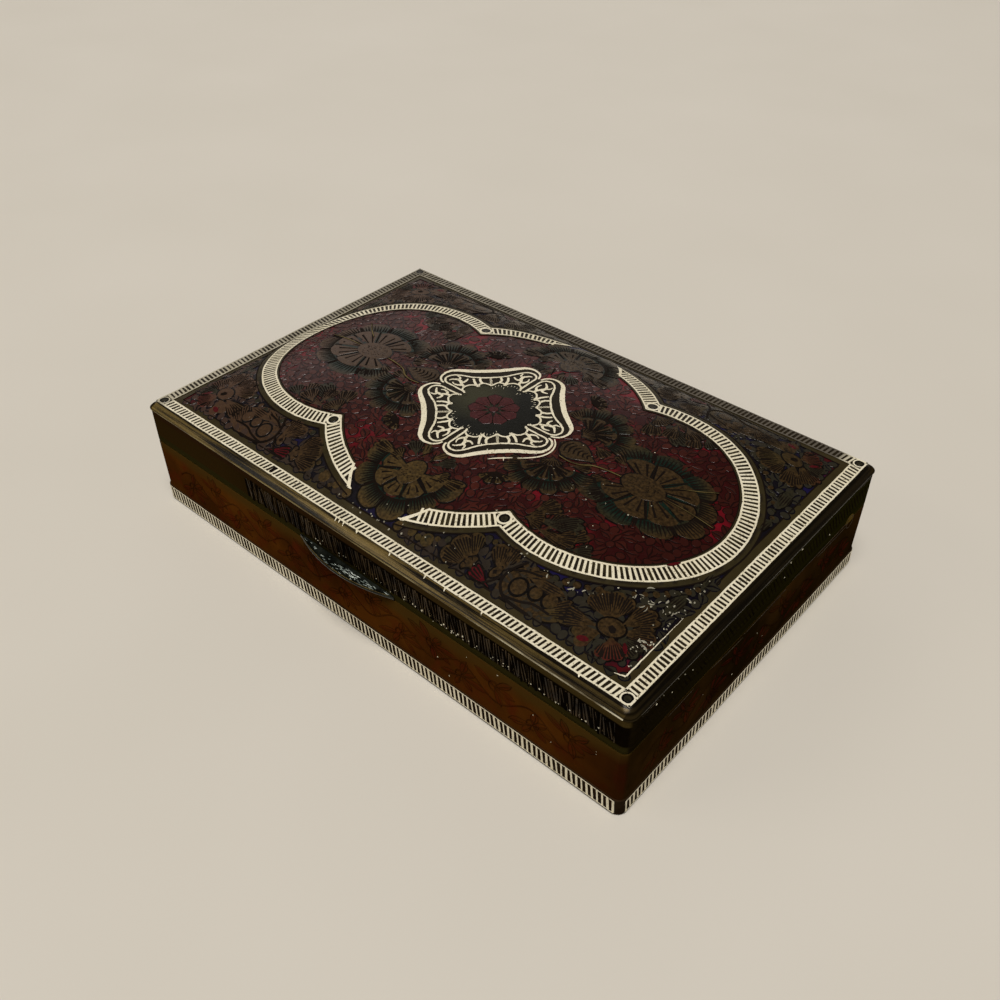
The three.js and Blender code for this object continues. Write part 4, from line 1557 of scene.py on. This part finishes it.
def base_shell():
    """The base from under its foot, up the wall, over the rim inside it and down to the floor."""
    inner = WALL_X - WALL
    rim_out = WALL_X - 2.0
    rim_in = rim_out - 1.2
    # Each ring is its half length, the radius of its corners and its height
    foot = [(FOOT_X - 1.0, 1.6, 0.0), (FOOT_X - 0.5, 1.9, 0.06), (FOOT_X - 0.2, 2.1, 0.34),
            (FOOT_X - 0.1, CORNER, 0.55), (FOOT_X - 0.1, CORNER, 4.78), (FOOT_X - 0.16, CORNER, 4.88)]
    wall = [(WALL_X - 0.12, 2.15, FOOT_TOP - 0.01), (WALL_X - 0.12, 2.15, 19.2), (WALL_X - 0.2, 2.1, 19.35),
            (WALL_X - 0.4, 2.0, SEAM_LOW)]
    rim = [(rim_out + 0.02, 0.56, SEAM_LOW), (rim_out, 0.55, 19.42), (rim_out, 0.55, 23.25),
           (rim_out - 0.12, 0.5, 23.4), (rim_in + 0.12, 0.5, 23.4), (rim_in, 0.5, 23.28),
           (rim_in, 0.5, 13.5), (rim_in + 0.1, 0.5, 13.4)]
    inside = [(inner - 0.03, 0.55, 13.4), (inner, 0.55, 13.37), (inner, 0.55, 2.1),
              (inner - 0.5, 0.5, WALL)]
    rings = foot + wall + rim + inside
    points, faces = [], []
    for half, radius, z in rings:
        points += perimeter(half, radius, z)
    n = len(points) // len(rings)
    last = (len(rings) - 1) * n
    for low in range(0, last, n):
        join_rings(faces, range(low, low + n), range(low + n, low + 2 * n))
    faces.append(tuple(reversed(range(n))))
    faces.append(tuple(range(last, last + n)))
    mesh = outward(mesh_from("base_shell", points, faces))
    shade(mesh, 30)
    return mesh


show("base_shell", base_shell(), base_metal, "base_brass", "base")

# Ornament on the walls, drawn flat and stood against each wall

TURNS = {
    "front": Matrix(((1, 0, 0), (0, 0, -1), (0, 1, 0))),
    "right": Matrix(((0, 0, 1), (1, 0, 0), (0, 1, 0))),
    "back": Matrix(((-1, 0, 0), (0, 0, 1), (0, 1, 0))),
    "left": Matrix(((0, 0, -1), (-1, 0, 0), (0, 1, 0))),
}
ON_FRONT, ON_RIGHT = ("front", WALL_Y - 0.16), ("right", WALL_X - 0.16)
OFF_DOME = {"Rise": 0.0, "Ground": 0.0}
WALL_LOOKS = {"foot_ladder": (cream, "base_brass"), "skirt_strokes": (skirt_brown, "lid_brass"),
              "skirt_gaps": (skirt_black, "lid_brass"), "skirt_brushwork": (skirt_dark, "lid_brass"),
              "vine_lines": (vine_line, "base_brass"), "vine_leaves": (vine_leaf, "base_brass")}
wall_parts = {name: [] for name in WALL_LOOKS}


def stand(mesh, face, depth):
    """Turns flat work to a wall and moves it out to that wall's surface."""
    turn = TURNS[face]
    out = turn @ Vector((0, 0, depth * MM))
    mesh.transform(Matrix.Translation(out) @ turn.to_4x4())
    return mesh


def grow_on_wall(piece, face, depth, lines, tree, **sizes):
    """Grows a part of one piece on flat lines and stands it against a wall."""
    part = grown(piece + "_" + face, lines.drawing(piece), tree, WALL_LOOKS[piece][0], **sizes, **OFF_DOME)
    wall_parts[piece].append(stand(part, face, depth))


def rung_row(piece, face, depth, start, end, z, sizes, lift=0.0):
    """A row of rungs or strokes along a wall, at one height."""
    row = Lines()
    row.add(straight((start, z), (end, z), 50), 0.1, lift)
    grow_on_wall(piece, face, depth, row, rung_growth, **sizes)


def vine(reach, seed):
    """A running stem with sprays of long brushed leaves, along a wall of the base."""
    chance = random.Random(seed)
    lines, leaves = Lines(), Relief(on_dome=False)
    level, step, grain = 12.0, 9.6, 1.5
    count = int(2 * (reach - 5) / step)
    start = -count * step / 2
    main = [(start + grain * i, level + 2.6 * math.sin(math.pi * grain * i / step))
            for i in range(int(count * step / grain) + 1)]
    lines.add(smooth(main, 2), 0.26, 0.07)
    for k in range(count):
        side = 1 if k % 2 else -1
        x, y = start + step * (k + 0.5) + chance.uniform(-0.8, 0.8), level + side * 2.0
        for i in range(7):
            angle = math.radians(-side * (74 + chance.uniform(-6, 6)) + side * 38 * i)
            long = chance.uniform(4.4, 6.6) * (1.0 if abs(math.sin(angle)) > 0.5 else 1.25)
            tip = (x + long * math.cos(angle), y + long * math.sin(angle) * 0.9)
            if 5.6 < tip[1] < 18.8 and abs(tip[0]) < reach - 2.5:
                outline = leaf_outline((x, y), tip, chance.uniform(1.6, 2.4), 0.6, 5)
                leaves.shape(outline, 0.055 + 0.01 * (i % 3), cut=0.24)
                bend = ((x + tip[0]) / 2 + 0.3, (y + tip[1]) / 2)
                lines.add(smooth([(x, y), bend, tip], 3), pointed(0.2), 0.085)
        lines.add(arc(x, y, 1.5, 0, 290, 12), tapering(0.34, 0.15), 0.095)
    return lines, leaves


for number, face in enumerate(TURNS):
    is_long = face in ("front", "back")
    half, out = (WALL_X, FOOT_Y) if is_long else (WALL_Y, FOOT_X)
    reach = half - 1.5
    rails = Lines()
    for z in (0.8, 4.55):
        rails.add(wobble(straight((-reach, z), (reach, z), 60), 0.04, number), 0.22, 0.15)
    grow_on_wall("foot_ladder", face, out - 0.18, rails, line_growth, Height_share=0.2)
    rung_row("foot_ladder", face, out - 0.18, -reach + 0.3, reach - 0.2, 2.68,
             rung_sizes(1.3, 3.5, 0.52, 0.16, 0.1, 0.12, 21 + number), 0.02)
    lines, leaves = vine(half, 61 + number)
    grow_on_wall("vine_lines", face, out - 0.37, lines, line_growth, Height_share=0.3)
    wall_parts["vine_leaves"].append(stand(leaves.mesh("vine"), face, out - 0.37))
    if is_long:
        left = -36 if face == "front" else -70
        rung_row("skirt_strokes", face, out - 0.47, left, half - 3.4, 24.5,
                 rung_sizes(0.8, 4.4, 0.3, 0.26, 0.14, 0.32, 31 + number))
        rung_row("skirt_gaps", face, out - 0.46, left, half - 3.4, 24.3,
                 rung_sizes(1.9, 4.3, 0.42, 0.3, 0.1, 0.45, 51 + number))
    else:
        rung_row("skirt_brushwork", face, out - 0.47, -half + 4, half - 4, 25.0,
                 rung_sizes(1.3, 4.6, 0.3, 0.16, 0.55, 0.2, 41 + number))
for name, (material, slot) in WALL_LOOKS.items():
    show(name, joined(name, wall_parts[name]), material, slot)

# The small round mark in the seam near the back of the right side, and the worn lines beside it

MARK = (40.0, 19.3)
mark = Relief(on_dome=False)
mark.shape(disc_outline(*MARK, 2.0, steps=20), 0.16, cut=0.5)
mark.shape(disc_outline(*MARK, 0.8, steps=12), 0.2, cut=0.45)
show("seam_mark", stand(mark.mesh("seam_mark"), *ON_RIGHT), base_metal, "lid_brass")
worn = Lines()
worn.add(disc_outline(*MARK, 1.75, steps=20), 0.14, 0.19, closed=True)
for path in ([(12.0, 20.4), (24.0, 20.2), (38.2, 19.9)], [(24.0, 18.9), (32.0, 18.9), (38.3, 18.8)],
             [(-21.0, 20.0), (-15.0, 19.2), (-8.0, 18.7)], [(-36.0, 19.2), (-27.0, 19.3)],
             [(-8.0, 19.5), (10.0, 19.6)]):
    worn.add(smooth(path, 6), pointed(0.2, 0.4), 0.17)
for start, end in ((-46, -40), (-2, 10), (40, 47)):
    worn.add(straight((start, 28.9 + 0.1 * math.sin(start)), (end, 28.8), 12), pointed(0.16, 0.4), 0.16)
worn_mesh = grown("worn_lines", worn.drawing("worn"), line_growth, skirt_brown, Height_share=0.3, **OFF_DOME)
show("worn_lines", stand(worn_mesh, *ON_RIGHT), skirt_brown, "lid_brass")


# Bright chips in the lacquer and glints round its cells, their near-white colour a painted highlight

def chips(target, spots, seed):
    """Small splinters scattered about some spots: each spot's place, spread, number and height."""
    chance = random.Random(seed)
    for x, y, spread_x, spread_y, count, lift in spots:
        for _ in range(count):
            px, py = chance.gauss(x, spread_x), chance.gauss(y, spread_y)
            px = max(-INSET_X, min(INSET_X, px))
            if not target.on_dome:
                px, py = max(-44.0, min(70.0, px)), max(6.0, min(28.6, py))
            r = chance.uniform(0.08, 0.24)
            outline = []
            for k in range(5):
                a = 2 * math.pi * k / 5
                outline.append((px + r * chance.uniform(0.6, 1.5) * math.cos(a),
                                py + r * chance.uniform(0.6, 1.5) * math.sin(a)))
            target.shape(outline, lift, cut=0.015)


lid_chips, front_highlight_chips, right_highlight_chips = Relief(), Relief(on_dome=False), Relief(on_dome=False)
chips(lid_chips, ((65.4, -22.0, 2.0, 3.0, 14, 0.17), (68.4, -29.0, 0.3, 8.0, 20, 0.2),
                  (59.5, -26.6, 3.0, 1.2, 8, 0.17), (66.6, -14.0, 0.8, 3.0, 6, 0.17),
                  (66.8, -34.6, 0.6, 0.8, 10, 0.2), (-1.0, -42.6, 6.0, 0.4, 14, 0.15),
                  (45.0, -32.4, 6.0, 1.0, 14, 0.17), (20.0, -38.4, 8.0, 2.5, 12, 0.16),
                  (32.0, -12.0, 12.0, 8.0, 26, 0.2)), 5)
show("lid_chips", lid_chips.mesh("lid_chips"), painted_highlight, "lid_brass")
glints = Lines()
chance = random.Random(17)
for x, y, spread_x, spread_y, count in ((65.2, -22.5, 1.9, 3.4, 15), (60.0, -26.4, 2.6, 0.9, 6),
                                        (66.8, -11.0, 0.8, 4.0, 4), (44.0, -32.6, 5.0, 0.8, 4),
                                        (66.8, -35.0, 0.8, 1.2, 4)):
    for _ in range(count):
        cx = min(chance.gauss(x, spread_x), INSET_X - 1.5)
        cy, r, start = chance.gauss(y, spread_y), chance.uniform(0.8, 1.6), chance.uniform(0, 360)
        if not inside_cartouche(cx, cy, 4.4):
            path = arc(cx, cy, r, start, start + chance.uniform(20, 75), 4)
            glints.add(path, pointed(chance.uniform(0.16, 0.42)), 0.2)
show_lines("bright_glints", glints, painted_highlight)
# Painted highlights: short bright dashes at the lower ends of the skirt strokes.
dashes = Lines()
for _ in range(54):
    x, z = min(chance.gauss(24.0, 17.0), 70.0), chance.uniform(21.9, 23.4)
    end = (x + chance.uniform(-0.1, 0.3), z + chance.uniform(0.3, 1.0))
    dashes.add([(x, z), end], pointed(chance.uniform(0.1, 0.2)), 0.14)
dash_mesh = grown("skirt_glints", dashes.drawing("dashes"), line_growth, stem_brass,
                  Height_share=0.3, **OFF_DOME)
show("skirt_glints", stand(dash_mesh, *ON_FRONT), stem_brass, "lid_brass")
chips(front_highlight_chips, ((20.0, 22.6, 22.0, 0.5, 34, 0.13), (45.0, 22.4, 14.0, 0.5, 22, 0.13),
                    (40.0, 12.0, 22.0, 3.0, 10, 0.1)), 6)
chips(right_highlight_chips, ((-30.0, 27.0, 6.0, 1.4, 6, 0.12), (-14.0, 14.0, 12.0, 3.0, 6, 0.1),
                    (10.0, 25.0, 12.0, 2.0, 4, 0.12)), 7)
highlight_chip_meshes = [stand(front_highlight_chips.mesh("front_highlight_chips"), *ON_FRONT),
               stand(right_highlight_chips.mesh("right_highlight_chips"), *ON_RIGHT)]
show("wall_chips", joined("wall_chips", highlight_chip_meshes), painted_highlight, "lid_brass")


# Thumb lip

lip_middle, lip_half = (lip_low.x + lip_high.x) / 2, (lip_high.x - lip_low.x) / 2


def lip_reach(x):
    """How far the lip's curved edge stands out from the wall at a place along it."""
    depth = -WALL_Y - lip_low.y
    radius = (lip_half ** 2 + depth ** 2) / (2 * depth)
    off = x - lip_middle
    return max(math.sqrt(max(radius ** 2 - off ** 2, 0)) - (radius - depth), 0.12)


def thumb_lip():
    """The ledge: one section drawn along the wall, as deep as the lip reaches there."""
    stations = 56
    section = [(0.0, 0.05), (0.0, 1.04), (0.25, 0.86), (0.5, 0.74), (0.72, 0.76), (0.88, 0.9), (0.95, 0.92),
               (1.0, 0.74), (1.0, 0.45), (0.94, 0.2), (0.8, 0.06), (0.4, 0.03)]
    n = len(section)
    points, faces = [], []
    for s in range(stations + 1):
        x = lip_middle + lip_half * (-1 + 2 * s / stations)
        reach = lip_reach(x)
        for share, height in section:
            points.append((x, -WALL_Y + 0.16 - share * (reach + 0.1), lip_low.z + height))
    for a in range(0, stations * n, n):
        b = a + n
        for i in range(n):
            j = (i + 1) % n
            faces.append((a + i, b + i, b + j, a + j))
    faces.append(tuple(range(n)))
    faces.append(tuple(stations * n + i for i in reversed(range(n))))
    mesh = outward(mesh_from("thumb_ledge", points, faces))
    shade(mesh, 40)
    return mesh


show("thumb_ledge", thumb_lip(), lip_brass, "lip_brass", "thumb_lip")
# Painted glints: bright teal-white flecks along the lip's upper face.
painted_glints = Relief(on_dome=False)
chance = random.Random(23)
lip_length = lip_high.x - lip_low.x
for _ in range(64):
    x = chance.gauss(lip_low.x + 0.56 * lip_length, 0.17 * lip_length)
    x = min(max(x, lip_low.x + 2), lip_high.x - 2)
    y = -WALL_Y + 0.1 - lip_reach(x) * min(max(chance.gauss(0.5, 0.2), 0.12), 0.84)
    long, wide, turn = chance.uniform(0.2, 0.95), chance.uniform(0.06, 0.15), chance.uniform(-0.3, 0.3)
    outline = []
    for k in range(7):
        a = 2 * math.pi * (k + 0.3 * chance.random()) / 7
        outline.append((x + long * math.cos(a) * math.cos(turn) - wide * math.sin(a) * math.sin(turn),
                        y + wide * math.sin(a) * math.cos(turn) + long * math.cos(a) * math.sin(turn)))
    painted_glints.shape(outline, lip_low.z + 0.9, cut=0.015, low=lip_low.z + 0.6, flat=True)
show("lip_flecks", painted_glints.mesh("lip_flecks"), lip_painted_glint, "lip_brass")
# Painted highlight: a thin bright line along the lip's outer edge.
edge = Lines()
places = [lip_low.x + 1 + (lip_length - 2) * i / 40 for i in range(41)]
path = [(x, -WALL_Y + 0.2 - 0.93 * (lip_reach(x) + 0.1)) for x in places]
edge.add(path, pointed(0.2, 0.3), lip_low.z + 0.97)
edge_highlight_mesh = grown("lip_edge", edge.drawing("lip_edge"), line_growth, stem_brass,
                  Height_share=0.4, **OFF_DOME)
show("lip_edge", edge_highlight_mesh, stem_brass, "lip_brass")


# Floor, light and camera

def stage_floor():
    far = 4000
    corners = [(-far, -far, 0), (far, -far, 0), (far, far, 0), (-far, far, 0)]
    mesh = mesh_from("pale_floor", corners, [(0, 1, 2, 3)])
    material, tree, shader = new_finish("pale_floor", 0.6)
    wire(tree, shader, {"Base Color": blended(tree, noise(tree, 12, 2), "cfc9bd", "d6d0c5")})
    mesh.materials.append(material)
    floor = bpy.data.objects.new("pale_floor", mesh)
    bpy.context.scene.collection.objects.link(floor)


def area_light(name, place, length, height, power, colour):
    """A card of light that faces the box."""
    lamp = bpy.data.lights.new(name, "AREA")
    lamp.shape = "RECTANGLE"
    lamp.size, lamp.size_y = length, height
    lamp.energy = power
    lamp.color = colour
    holder = bpy.data.objects.new(name, lamp)
    holder.location = place
    towards = Vector((0, 0, 0.03)) - Vector(place)
    holder.rotation_euler = towards.to_track_quat("-Z", "Y").to_euler()
    bpy.context.scene.collection.objects.link(holder)


stage_floor()
sun = bpy.data.lights.new("soft_window", "SUN")
sun.energy = 2.7
sun.angle = math.radians(28)
sun.color = (1.0, 0.97, 0.93)
window = bpy.data.objects.new("soft_window", sun)
window.rotation_euler = Vector((-0.15, 0.22, -0.96)).to_track_quat("-Z", "Y").to_euler()
bpy.context.scene.collection.objects.link(window)
area_light("back_left_haze", (-1.1, 1.2, 0.72), 1.5, 0.6, 1.3, (1.0, 0.94, 0.9))
area_light("bevel_card", (-0.61, -0.75, 0.7), 0.6, 0.3, 1.0, (1.0, 0.95, 0.86))

world = bpy.data.worlds.new("pale_room")
bpy.context.scene.world = world
world.use_nodes = True
world.node_tree.nodes["Background"].inputs["Color"].default_value = (0.86, 0.81, 0.74, 1)
world.node_tree.nodes["Background"].inputs["Strength"].default_value = 0.1

# The camera solved from the box's corners in the photo, in millimetres and degrees
CAMERA_PLACE = Vector((132.8696, -148.9337, 177.0874))
CAMERA_TARGET = Vector((5.08465, -4.80118, 15.0))
CAMERA_ROLL = -0.2104
camera_data = bpy.data.cameras.new("camera")
camera_data.sensor_width = 36.0
camera_data.lens = 36.3134
camera_data.clip_start = 0.01
camera = bpy.data.objects.new("camera", camera_data)
bpy.context.scene.collection.objects.link(camera)
camera.location = CAMERA_PLACE * MM
look = CAMERA_TARGET * MM - camera.location
camera.rotation_euler = (look.to_track_quat("-Z", "Y").to_matrix().to_4x4()
                         @ Matrix.Rotation(math.radians(CAMERA_ROLL), 4, "Z")).to_euler()
bpy.context.scene.camera = camera
bpy.context.scene.view_settings.view_transform = "Standard"
